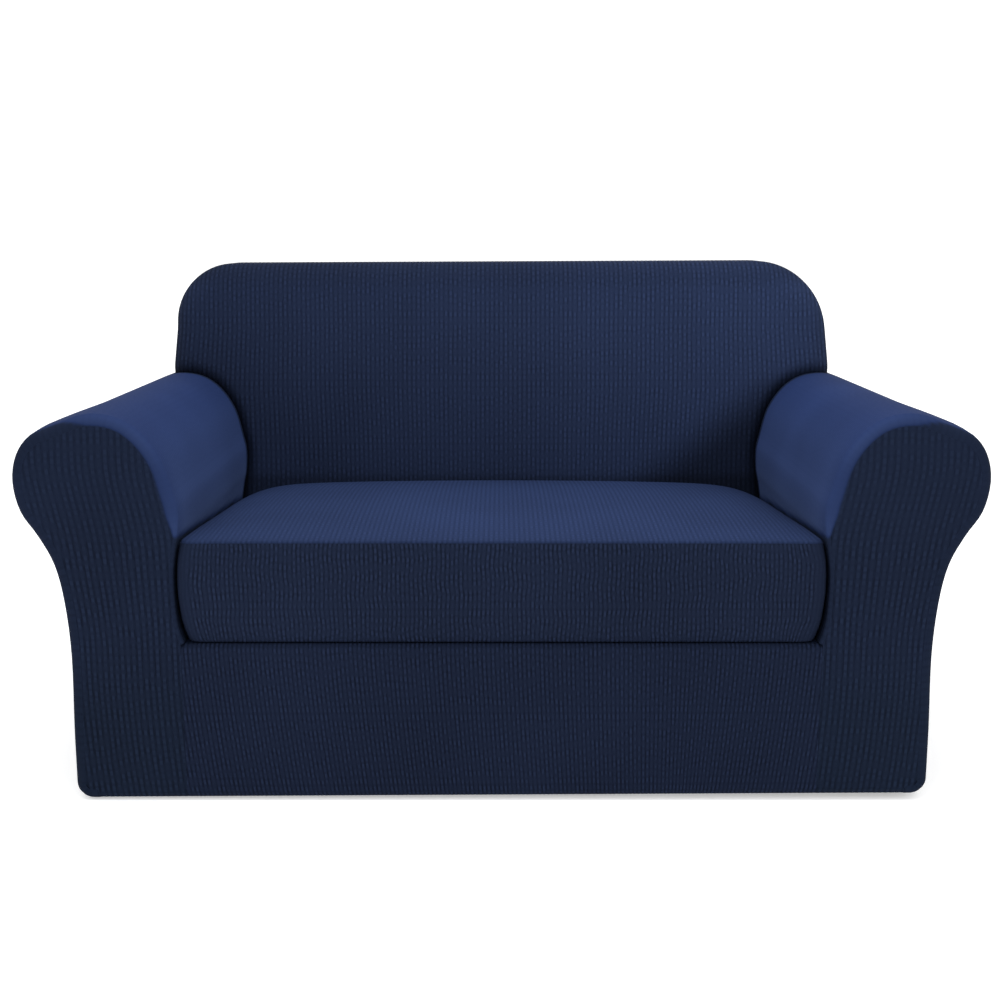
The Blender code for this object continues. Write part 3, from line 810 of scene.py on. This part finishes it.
def back_painted_light(points):
    """Painted light and shade on the back, as a share of its colour's range: lighter to the right, and
    painted shade in the creases beside the arms, in the right-hand corner under a slanting line, just above
    the seat and over the top edge."""
    x, z = points[..., 0], points[..., 2]
    away = np.maximum(0, -inside_arm(points))
    below = CORNER_SLANT[0] * (x - CORNER_POINT[0]) - CORNER_SLANT[1] * (z - CORNER_POINT[1])
    light = LEFT_LIGHT + RIGHT_GAIN * ramp(x, *GAIN_RISE)
    light = light * (1 - fading(away, *CREASE_LOSS) - fading(away, *LEFT_LOSS) * (x < 0))
    light = light * (1 - CORNER_LOSS * ramp(below, *CORNER_RISE) * ramp(z, *CORNER_FALL))
    light = light * (1 - fading(np.maximum(0, z - SEAT_TOUCH), *SEAT_LOSS))
    light = light * (1 - EDGE_LOSS * ramp(z, *EDGE_RISE))
    return (light - BACK_DARKEST) / (BACK_LIGHTEST - BACK_DARKEST)


def ribs_behind(places, outwards, behind):
    """Rib count behind the face: x + n way + n |n| rest, which keeps ribs upright at the sides and lets
    them run straight back over the top. n is the outward direction, and rest is the length past the turn."""
    way = np.maximum.accumulate(back_edge_rows()[:, :1], axis=0)
    rest = np.maximum(0, behind - behind[TURN_STEPS])
    return (places[None] + outwards[None] * way + (outwards * np.abs(outwards))[None] * rest) / WIDE_RIB


def trimmed_back(points, ribs, along, strength):
    """A patch of the back, creased beside the arms, trimmed a gap away from their form, and with painted
    light and shade in its colour.
    """
    x, y, z = np.moveaxis(creased(points), -1, 0)
    margin = -inside_arm(points) - GAP
    x, y, z, ribs, along, strength, cells = trim(margin, x, y, z, ribs, along, strength)
    points = together(x, y, z)
    return patch(points, ribs, along, cells, strength, back_painted_light(points))


back = back_cloth()

# %% [markdown]
# ## Rear panel
#
# One flat panel closes the rear, behind the back and both arms. Its outline is what any of three shapes
# covers: the back, the arms, and a rectangle between and below them. A distance inside several shapes taken
# together is the greatest of the distances inside each.


# %% Rear cloth
CORNER_END = PANEL_INSET + 0.016  # height where the round corners at the hem have ended
REAR_HALF_WIDTH = 0.812
REAR_TOP = 0.905
MIDDLE_TOP = 0.60  # of the rectangle between the arms


def rear_cloth():
    """A flat grid at the rear, trimmed to the three shapes, with its lowest strip turned in as a hem.

    The arm's section is closed along the floor and the middle, so that the panel reaches the arm's hem.
    """
    columns = rib_columns(-REAR_HALF_WIDTH, REAR_HALF_WIDTH, WIDE_RIB)[None]
    x, z = np.broadcast_arrays(columns, panel_rows(HEM_RUN, (CORNER_END, 8), (REAR_TOP, 54)))
    back_margin = inside_distance(x, z, back_outline()) - PANEL_INSET
    section = arm_outline()
    below_arm = np.vstack([section, (0, section[-1][1]), (0, section[0][1])])
    arm_margin = inside_distance(np.abs(x), z, below_arm) - PANEL_INSET
    reach = HEM_REACH - GAP - np.abs(x)
    skirt = np.minimum(reach, np.minimum(z - HEM_END + ON_EDGE, MIDDLE_TOP - z))
    arm_margin = np.where(z < PANEL_INSET, np.minimum(arm_margin, reach), arm_margin)
    margin = np.maximum(np.maximum(back_margin, arm_margin), skirt)
    x, z, ribs, margin, cells = trim(margin, x, z, x / WIDE_RIB, margin)
    points = turned_hem(x, z, REAR, -1)
    strength = ramp(margin, 0, FADE)
    piece = patch(points, ribs, z / CHECK, cells, strength, pull=0.5, hem=True)
    return cloth("rear_cloth", [piece], (0, 0, 0.45))


rear = rear_cloth()

# %% [markdown]
# ## Front of the seat, and the deck
#
# The rail's cloth starts in a seam at the edge of the deck, rolls over the edge and falls straight down to
# the hem, which the elastic draws in. Its ribs fan out downwards, most of all left of the middle, as cloth
# does that is pulled down harder at one end. The deck under the cushion is a plain flat sheet.

# %% Rail and deck
RAIL_LEAN = (  # place along the front, and how far a rib that starts there has moved at the floor
    (-0.59, 0.028), (-0.45, 0.030), (-0.25, 0.026), (-0.05, 0.018),
    (0.12, 0.012), (0.28, 0.0), (0.40, -0.022), (0.59, -0.028),
)
LEAN_POWER = 1.4


def rail_cloth():
    """A profile in (y, z) along columns that lean by a smooth line through RAIL_LEAN, times down to a power.

    The ribs at either end run out into the seam, so the grid is wider than the rail and trimmed to it.
    """
    upper = arc((FRONT + DECK_EDGE, DECK - DECK_EDGE), DECK_EDGE, 90, 180, 6)
    upper = np.vstack([upper[0] + (LIP, 0), upper])
    face = np.linspace(upper[-1], (FRONT, PANEL_INSET), 18)[1:-1]
    lower = arc((FRONT + PANEL_INSET, PANEL_INSET), PANEL_INSET, 180, 270, 16)
    profile = np.vstack([upper, face, lower])
    table = smooth_line(RAIL_LEAN, 12)
    columns = rib_columns(table[0, 0], table[-1, 0], FINE_RIB)
    lean = np.interp(columns, table[:, 0], table[:, 1])[None]
    down = ((DECK - profile[:, 1]) / DECK)[:, None]
    x = columns[None] + lean * np.maximum(down, 0) ** LEAN_POWER
    y, z, fall = (line[:, None] for line in (*profile.T, lengths(profile)))
    margin = RAIL_HALF_WIDTH - np.abs(x)
    x, y, z, ribs, fall, margin, cells = trim(margin, x, y, z, columns / FINE_RIB, fall, margin)
    strength = ramp(np.minimum(fall, margin), 0, FADE)
    piece = patch(together(x, y, z), ribs, -fall / CHECK, cells, strength, hem=True)
    return cloth("rail_cloth", [piece], (0, 0, 0.12))


def deck_cloth():
    """A flat rectangle between the rail, the arms and the foot of the back."""
    half = ARM_SECTION[0][0] - GAP
    front = FRONT + DECK_EDGE + LIP + GAP
    rear_end = back_face(DECK - SHEET) - 2 * GAP
    x = np.linspace(-half, half, 76)[None]
    y = np.linspace(front, rear_end, 21)[:, None]
    piece = patch(together(x, y, DECK), x / FINE_RIB, y / CHECK, strength=0, pull=0.5)
    return cloth("deck_cloth", [piece], (0, -0.1, 0))


rail = rail_cloth()
deck = deck_cloth()

# %% [markdown]
# ## Cushion cover
#
# The seat cushion has a cover of its own, a top panel sewn to a band. The band bulges a little in the
# middle of its height and is drawn in underneath, where an elastic hem leaves the cushion's underside open.
# Its plan is a rectangle with small round corners, which shrinks and grows from row to row.


# %% Cushion shapes
def cushion_corners(inset, rear_end):
    """Four quarter rounds, from above, starting at the left end of the front."""
    half = CUSHION_HALF_WIDTH - inset - CUSHION_CORNER
    front = CUSHION_FRONT + inset + CUSHION_CORNER
    rear_y = rear_end - inset - CUSHION_CORNER
    corners = ((-half, front, 270), (-half, rear_y, 180), (half, rear_y, 90), (half, front, 0))
    return [arc((x, y), CUSHION_CORNER, start, start - 90, CORNER_POINTS) for x, y, start in corners]


def cushion_plan(inset, rear_end):
    """Corners and sides, with points a quarter of a rib apart and equally many on every row.

    A side's points keep their places along the widest outline, so that ribs stay upright, and only near
    an end, over a share of the side, do they follow the corner.
    """
    corners = cushion_corners(inset, rear_end)
    widest = cushion_corners(0.0, cushion_rear(TOP_FRONT))
    ring = []
    for number, steps in enumerate(SIDE_POINTS):
        share = np.linspace(0, 1, steps + 1)[1:-1, None]
        start, end = widest[number][-1], widest[(number + 1) % 4][0]
        along = (end - start) / np.linalg.norm(end - start)
        first, last = corners[number][-1] - start, corners[(number + 1) % 4][0] - end
        drawn = (first @ along) * (1 - ramp(share, 0, CORNER_PULL))
        drawn = drawn + (last @ along) * (1 - ramp(share, 1, -CORNER_PULL))
        across = (first - (first @ along) * along) * (1 - share) + (last - (last @ along) * along) * share
        ring += [corners[number], start + share * (end - start) + along * drawn + across]
    return np.vstack(ring)


CUSHION_DEPTH = cushion_rear(TOP_FRONT) - CUSHION_FRONT
SIDE_POINTS = [
    RIB_POINTS * round((length - 2 * CUSHION_CORNER) / FINE_RIB)
    for length in (CUSHION_DEPTH, 2 * CUSHION_HALF_WIDTH, CUSHION_DEPTH, 2 * CUSHION_HALF_WIDTH)
]
CORNER_POINTS = 17
CORNER_PULL = 0.06  # share of a side over which its ribs lean in towards a corner
TOP_ROLL = 0.004  # radius of the top's edge, which rolls down to the band
print("points round the cushion:", sum(SIDE_POINTS) + 4 * CORNER_POINTS, "depth, m:", round(CUSHION_DEPTH, 3))


# %% Cushion cloths
SEAT_DARKEST = 0.30  # shares of the seat's colour at the darkest painted shade and at the lightest painted light
SEAT_LIGHTEST = 1.30
RIB_WAVE = 0.12  # how far the band's ribs sway from straight, in ribs
BAND_WAVES = ((1.0, 0.085, 47), (0.7, 0.053, -29))  # share, length down the band and across it in ribs
CUSHION_MIDDLE = (0, -0.13, 0.37)
SEAT_PAINTED_LIGHT_GAIN, SEAT_PAINTED_LIGHT_PLACE, SEAT_PAINTED_LIGHT_REACH = 0.10, 0.28, 0.16  # a patch of painted light on the seat, right of the middle
BESIDE_LOSS = (0.62, 0.010)  # losses of light, as (share, distance over which it fades)
FRONT_LOSS = (0.25, 0.012)
RIGHT_LOSS, RIGHT_LOSS_DEPTH = (0.28, 0.10), 0.35


def band_cloth():
    """Rows of the plan, inset and height following a smooth line through BAND_ROWS."""
    rows = smooth_line(BAND_ROWS, 2)
    rows = np.vstack([rows[:4:2], rows[4:]])
    rings = []
    for inset, rise in rows:
        inset, rise = max(inset, 0), max(rise, GAP)
        share = rise / BAND_ROWS[-1][1]
        plan = cushion_plan(inset, cushion_rear(DECK + rise))
        top = cushion_top_height(plan[:, 0], plan[:, 1]) - TOP_ROLL - GAP
        fall = ramp(rise, 0.05, 0.10)
        height = DECK + rise + fall * share * (top - DECK - BAND_ROWS[-1][1])
        rings.append(np.column_stack([plan, height]))
    points = np.array(rings)
    points = np.concatenate([points, points[:, :1]], axis=1)
    ribs = np.arange(points.shape[1]) / RIB_POINTS
    fall = lengths(rows)[:, None]
    waves = sum(
        share * np.sin(2 * np.pi * (fall / down + ribs[None] / across)) for share, down, across in BAND_WAVES
    )
    middles = np.cumsum([0, *(CORNER_POINTS + steps for steps in SIDE_POINTS)]) + CORNER_POINTS / 2
    from_corner = np.abs(np.arange(points.shape[1])[:, None] - middles).min(axis=1) * FINE_RIB / RIB_POINTS
    pull = (1 - ramp(from_corner, 0.014, 0.012))[None]
    strength = ramp(np.minimum(fall, fall[-1] - fall), 0, FADE) * (1 - pull)
    piece = patch(points, ribs[None] + RIB_WAVE * waves, fall / CHECK, None, strength, pull)
    return cloth("cushion_band_cloth", [piece], CUSHION_MIDDLE, slanted=False)


def seat_painted_light(x, y):
    """Painted light and shade on the seat: a patch of painted light right of the middle, and painted shade at
    the arms, at the front edge and in the right-hand rear.
    """
    side, front = CUSHION_HALF_WIDTH - np.abs(x), y - CUSHION_FRONT
    light = 1 + SEAT_PAINTED_LIGHT_GAIN * np.exp(-(((x - SEAT_PAINTED_LIGHT_PLACE) / SEAT_PAINTED_LIGHT_REACH) ** 2)) - fading(side, *BESIDE_LOSS)
    light = light - fading(front, *FRONT_LOSS)
    light = light - fading(CUSHION_HALF_WIDTH - x, *RIGHT_LOSS) * ramp(front, 0, RIGHT_LOSS_DEPTH)
    return (light - SEAT_DARKEST) / (SEAT_LIGHTEST - SEAT_DARKEST)


def top_cloth():
    """Height as a formula of (x, y), with the edge rolled down, on a grid trimmed to the plan."""
    inset = BAND_ROWS[-1][0]
    plan = cushion_plan(inset, cushion_rear(TOP_FRONT))
    low, high = plan.min(axis=0), plan.max(axis=0)
    turn = TOP_ROLL * (1 - np.cos(np.radians([0, 15, 28, 40, 54, 70])))
    columns = rib_columns(low[0] + TOP_ROLL * 0.75, high[0] - TOP_ROLL * 0.75, SEAT_RIB)
    columns = np.concatenate([low[0] + turn, columns, (high[0] - turn)[::-1]])[None]
    y = np.linspace(low[1] + TOP_ROLL * 1.4, high[1] - TOP_ROLL * 1.4, 41)
    y = np.concatenate([low[1] + turn, y, (high[1] - turn)[::-1]])[:, None]
    x, y = np.broadcast_arrays(columns, y)
    margin = inside_distance(x, y, plan[::4])
    margin = np.where(np.abs(margin) < 1e-6, 1e-6, margin)
    x, y, ribs, margin, cells = trim(margin, x, y, x / SEAT_RIB, margin)
    margin = np.clip(margin, 0, TOP_ROLL)
    roll = TOP_ROLL - np.sqrt(TOP_ROLL**2 - (TOP_ROLL - margin) ** 2)
    points = together(x, y, cushion_top_height(x, y) - roll)
    strength = 0.5 * ramp(margin, 0, TOP_ROLL)
    piece = patch(points, ribs, y / CHECK, cells, strength, seat_painted_light(x, y))
    return cloth("cushion_top_cloth", [piece], CUSHION_MIDDLE, slanted=False)


cushion_band = band_cloth()
cushion_top = top_cloth()

# %% [markdown]
# ## Shader maths
#
# A material's pattern is arithmetic on the cloth's own coordinates: ribs across and checks along. Wiring
# Math nodes by hand hides the sum that they make, so a small class wraps a socket and lets Python's own
# operators add the nodes.


# %% Sockets as numbers
class Value:
    """A socket that changes over the cloth. Arithmetic on it adds Math nodes to its material."""

    def __init__(self, tree, socket):
        self.tree = tree
        self.socket = socket

    def node(self, kind, settings, output=0, **inputs):
        """Adds a node: its settings first, then the values or links of its sockets, by name or number."""
        made = self.tree.nodes.new(kind)
        for key, value in settings.items():
            if key == "stops":
                for _ in value[2:]:
                    made.color_ramp.elements.new(1.0)
                for stop, (place, colour) in zip(made.color_ramp.elements, value):
                    stop.position, stop.color = place, colour
            else:
                setattr(made, key, value)
        for key, value in inputs.items():
            numbered = key[0] == "i" and key[1:].isdigit()
            socket = made.inputs[int(key[1:]) if numbered else key.replace("_", " ")]
            if isinstance(value, Value):
                self.tree.links.new(value.socket, socket)
            else:
                socket.default_value = value
        return Value(self.tree, made.outputs[output])

    def math(self, operation, *others):
        others = {f"i{number}": value for number, value in enumerate(others, 1)}
        return self.node("ShaderNodeMath", {"operation": operation}, i0=self, **others)

    def __add__(self, other):
        return self.math("ADD", other)

    def __sub__(self, other):
        return self.math("SUBTRACT", other)

    def __rsub__(self, other):
        return (self * -1) + other

    def __mul__(self, other):
        return self.math("MULTIPLY", other)

    __radd__ = __add__
    __rmul__ = __mul__

    def wave(self):
        """Cosine of this many turns, from 0 to 1."""
        return (self * (2 * math.pi)).math("COSINE") * 0.5 + 0.5

    def between(self, low, high):
        """0 below low, 1 above high, smooth between them."""
        settings = {"interpolation_type": "SMOOTHSTEP"}
        return self.node("ShaderNodeMapRange", settings, Value=self, From_Min=low, From_Max=high)


# %% [markdown]
# ## The knit
#
# The yarn is a navy without gloss. A rib's crest catches light and the valley beside it hides it, and short
# stitches break each rib into small checks. How much of that shows depends on how hard the knit is pulled:
# open it looks smooth, slack it is clearly ribbed. Each point of the cloth carries an attribute that holds
# its pull together with painted light and shade: lighter where light falls on the sofa, darker in its creases
# and corners. A ramp turns that into the cloth's colour, and the ramp's alpha into the depth of its ribbing.
# The stitches of neighbouring ribs are out of step, as a noise along the ribs shifts them.

# %% Knit material
STITCH_BUMP = 0.0004
STITCH_SHARE = 0.42  # of the pattern, that the stitches break up
PATTERN_MEAN = 0.44
PATTERN_DEPTH = 1.44
PATCH_DEPTH = 0.38  # of the slow patches
STITCH_SHIFT = 3.0  # how far the noise moves a rib's stitches, in checks
UNEVEN_GAIN, UNEVEN_LEAST = 1.5, 0.25
CREST_RANGE, STITCH_RANGE = (0.05, 0.85), (0.06, 0.55)  # where each rises from 0 to 1
UNEVEN_RANGE = (0.34, 0.66)


def knit_tone(start, depth):
    """Rib crest times stitch, of uneven strength, and one plus its share, with slow patches."""
    knit = start.node("ShaderNodeUVMap", {"uv_map": "knit"})
    ribs = start.node("ShaderNodeSeparateXYZ", {}, 0, Vector=knit)
    checks = Value(start.tree, ribs.socket.node.outputs[1])
    place = start.node("ShaderNodeTexCoord", {}, 3)
    patches = start.node("ShaderNodeTexNoise", {}, 0, Vector=place, Scale=4.0, Detail=2.0)
    number = ribs.math("ROUND")
    step = start.node("ShaderNodeCombineXYZ", {}, 0, X=number, Y=checks * 0.1)
    shift = start.node("ShaderNodeTexNoise", {}, 0, Vector=step, Scale=1.0, Detail=1.0)
    area = start.node("ShaderNodeCombineXYZ", {}, 0, X=number * 0.6, Y=checks * 0.8)
    uneven = start.node("ShaderNodeTexNoise", {}, 0, Vector=area, Scale=1.0, Detail=1.0)
    crest = ribs.wave().between(*CREST_RANGE)
    stitch = (checks + shift * STITCH_SHIFT).wave().between(*STITCH_RANGE)
    pattern = crest * (stitch * STITCH_SHARE + (1 - STITCH_SHARE))
    strength = uneven.between(*UNEVEN_RANGE) * UNEVEN_GAIN + UNEVEN_LEAST
    tone = (pattern - PATTERN_MEAN) * strength * (depth * PATTERN_DEPTH)
    return pattern, tone + (patches - 0.5) * PATCH_DEPTH + 1.0


def knit_material(name, states):
    """Colours the cloth by its pull and painted light, and by its tone, and raises the same pattern as a
    bump.

    states lists (pull and painted light, colour, depth of ribbing), in the order of the pull and painted
    light.
    """
    material = bpy.data.materials.new(name)
    material.use_nodes = True
    tree = material.node_tree
    shader = tree.nodes["Principled BSDF"]
    start = Value(tree, None)
    pull = start.node("ShaderNodeAttribute", {"attribute_name": "pull"}, 2)
    stops = [(place, (*colour, depth)) for place, colour, depth in states]
    yarn = start.node("ShaderNodeValToRGB", {"stops": stops}, 0, Fac=pull)
    depth = Value(tree, yarn.socket.node.outputs[1])
    pattern, tone = knit_tone(start, depth)
    shown = start.node("ShaderNodeVectorMath", {"operation": "SCALE"}, 0, i0=yarn, i3=tone)
    bump = start.node("ShaderNodeBump", {}, 0, Height=pattern * depth, Distance=STITCH_BUMP, Strength=0.6)
    tree.links.new(shown.socket, shader.inputs["Base Color"])
    tree.links.new(bump.socket, shader.inputs["Normal"])
    tree.links.new((0.97 - pattern * 0.10).socket, shader.inputs["Roughness"])
    shader.inputs["Specular IOR Level"].default_value = 0.05
    return material


def shaded(colour, darkest, lightest, depth):
    """The states of a knit whose colour goes from a darkest to a lightest share of itself."""
    shares = ((0.0, darkest), (1.0, lightest))
    return [(pull, tuple(channel * share for channel in colour), depth) for pull, share in shares]


# FRONT_COLOUR and BAND_COLOUR are the navy of the upright fronts. The back, the seat and the arms take
# lighter copies of it, painted light where light falls on them, and the arm's states go from painted shade at
# the foot of the front to painted light low on the inside.
FRONT_COLOUR = (0.0066, 0.0104, 0.0243)
BAND_COLOUR = (0.0074, 0.0116, 0.0265)
BACK_LIT_COLOUR = (0.0110, 0.0172, 0.0400)
SEAT_LIT_COLOUR = (0.0118, 0.0200, 0.0520)
ARM_PULL_AND_PAINTED_LIGHT_STATES = (
    (0.0, (0.0060, 0.0101, 0.0220), 0.32),  # foot of the front, painted shade near the floor
    (STEM_PULL_AND_PAINTED_LIGHT, (0.0067, 0.0108, 0.0247), 0.33),
    (ROLL_PULL_AND_PAINTED_LIGHT, (0.0071, 0.0115, 0.0262), 0.20),
    (TOP_PULL_AND_PAINTED_LIGHT, (0.0117, 0.0215, 0.0655), 0.06),
    (1.0, (0.0390, 0.0600, 0.1370), 0.06),  # lowest inside, the lightest painted light
)
KNITS = {
    "front": knit_material("ribbed_knit", [(0.0, FRONT_COLOUR, 0.40), (1.0, FRONT_COLOUR, 0.08)]),
    "band": knit_material("ribbed_knit_on_the_band", [(0.0, BAND_COLOUR, 0.42), (1.0, BAND_COLOUR, 0.08)]),
    "back": knit_material(
        "ribbed_knit_on_the_back", shaded(BACK_LIT_COLOUR, BACK_DARKEST, BACK_LIGHTEST, 0.30)
    ),
    "seat": knit_material(
        "ribbed_knit_on_the_seat", shaded(SEAT_LIT_COLOUR, SEAT_DARKEST, SEAT_LIGHTEST, 0.17)
    ),
    "arm": knit_material("ribbed_knit_on_the_arms", ARM_PULL_AND_PAINTED_LIGHT_STATES),
}
print("nodes in each knit:", {name: len(material.node_tree.nodes) for name, material in KNITS.items()})

# %% [markdown]
# ## Joining the cloth to the model
#
# Each cloth stands for the CAD node of the same panel, takes the record's material slot, and is listed with
# the size that it was cut to. A knit cover is cut smaller than the sofa and stretched on, and the sizes here
# are those of the cloth as stretched.

# %% Pieces and their nodes
SHEETS = (  # piece, CAD node, knit, flat size, flat area, neighbours that hold it
    (arm_cloths["left"], "arm_left", "arm", (0.983, 1.428), 1.18, ["back_cloth", "facing_cloth_left"]),
    (arm_cloths["right"], "arm_right", "arm", (0.983, 1.428), 1.18, ["back_cloth", "facing_cloth_right"]),
    (facing_cloths["left"], "arm_front_left", "arm", (0.245, 0.680), 0.125, ["arm_cloth_left"]),
    (facing_cloths["right"], "arm_front_right", "arm", (0.245, 0.680), 0.125, ["arm_cloth_right"]),
    (back, "back_inside", "back", (1.640, 0.860), 1.15, ["arm_cloth_left", "arm_cloth_right"]),
    (rear, "back_outside", "back", (1.620, 0.930), 1.30, ["back_cloth"]),
    (rail, "front_rail", "front", (1.138, 0.300), None, ["deck_cloth"]),
    (deck, "seat_deck", "seat", (1.125, 0.610), None, ["rail_cloth"]),
    (cushion_band, "cushion_band", "band", (3.400, 0.270), None, ["deck_cloth"]),
    (cushion_top, "cushion_top", "seat", (1.104, 0.655), None, ["cushion_band_cloth"]),
)
for piece, node, knit, flat, area, held_by in SHEETS:
    piece.data.materials.append(KNITS[knit])
    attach(piece, "root")
    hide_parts(node)
print("triangles:", sum(sum(len(face.vertices) - 2 for face in item[0].data.polygons) for item in SHEETS))

# %% [markdown]
# ## Studio
#
# A white surround gives even light from all sides. One large soft lamp hangs low above the seat: it reaches
# the seat, the tops of the arms and their inner sides, and passes over the upright fronts, which therefore
# stay dark. The pale floor glows a little, so that it stays white right up to the hem.


# %% Floor and light
FLOOR_HALF = 30
FLOOR_HEIGHT = -0.001


def floor_plane():
    """A square far larger than the view, just under the hem."""
    mesh = bpy.data.meshes.new("floor")
    corners = ((-1, -1), (1, -1), (1, 1), (-1, 1))
    corners = [(x * FLOOR_HALF, y * FLOOR_HALF, FLOOR_HEIGHT) for x, y in corners]
    mesh.from_pydata(corners, [], [(0, 1, 2, 3)])
    floor = add_object("floor", mesh)
    material = bpy.data.materials.new("pale_floor")
    material.use_nodes = True
    shader = material.node_tree.nodes["Principled BSDF"]
    looks = {"Base Color": (0.9, 0.9, 0.9, 1), "Roughness": 1.0}
    looks |= {"Emission Strength": 0.4, "Emission Color": (1, 1, 1, 1)}
    for socket, value in looks.items():
        shader.inputs[socket].default_value = value
    mesh.materials.append(material)


def lamp(name, place, aim, size, power, colour):
    """A square area lamp at a place, turned so that its -Z points at the aim."""
    data = bpy.data.lights.new(name, "AREA")
    data.size = size
    data.energy = power
    data.color = colour
    lamp_object = add_object(name, data)
    lamp_object.location = place
    way = np.subtract(aim, place)
    tilt = math.atan2(math.hypot(way[0], way[1]), -way[2])
    lamp_object.rotation_euler = (tilt, 0, math.atan2(-way[0], way[1]))


def surround(strength):
    """White light from all sides."""
    world = bpy.data.worlds.new("studio")
    bpy.context.scene.world = world
    world.use_nodes = True
    background = world.node_tree.nodes["Background"]
    background.inputs["Color"].default_value = (1, 1, 1, 1)
    background.inputs["Strength"].default_value = strength


floor_plane()
surround(1.15)
lamp("overhead", (0, -0.35, 2.0), (0, -0.1, 0.5), size=1.2, power=32, colour=(0.80, 0.88, 1.0))
bpy.context.scene.view_settings.view_transform = "Standard"

# %% [markdown]
# ## Camera
#
# A 50 mm lens a little above the back, straight in front and tilted down, as for a catalogue view.

# %% Camera
CAMERA_DISTANCE = 2.3085
CAMERA_HEIGHT = 0.9819
CAMERA_TILT = 10.842
CAMERA_SIDE = -0.0028
camera_data = bpy.data.cameras.new("camera")
camera_data.lens = 50
camera_data.sensor_width = 36
camera = add_object("camera", camera_data)
camera.location = (CAMERA_SIDE, FRONT - CAMERA_DISTANCE, CAMERA_HEIGHT)
camera.rotation_euler = (math.radians(90 - CAMERA_TILT), 0, 0)
bpy.context.scene.camera = camera
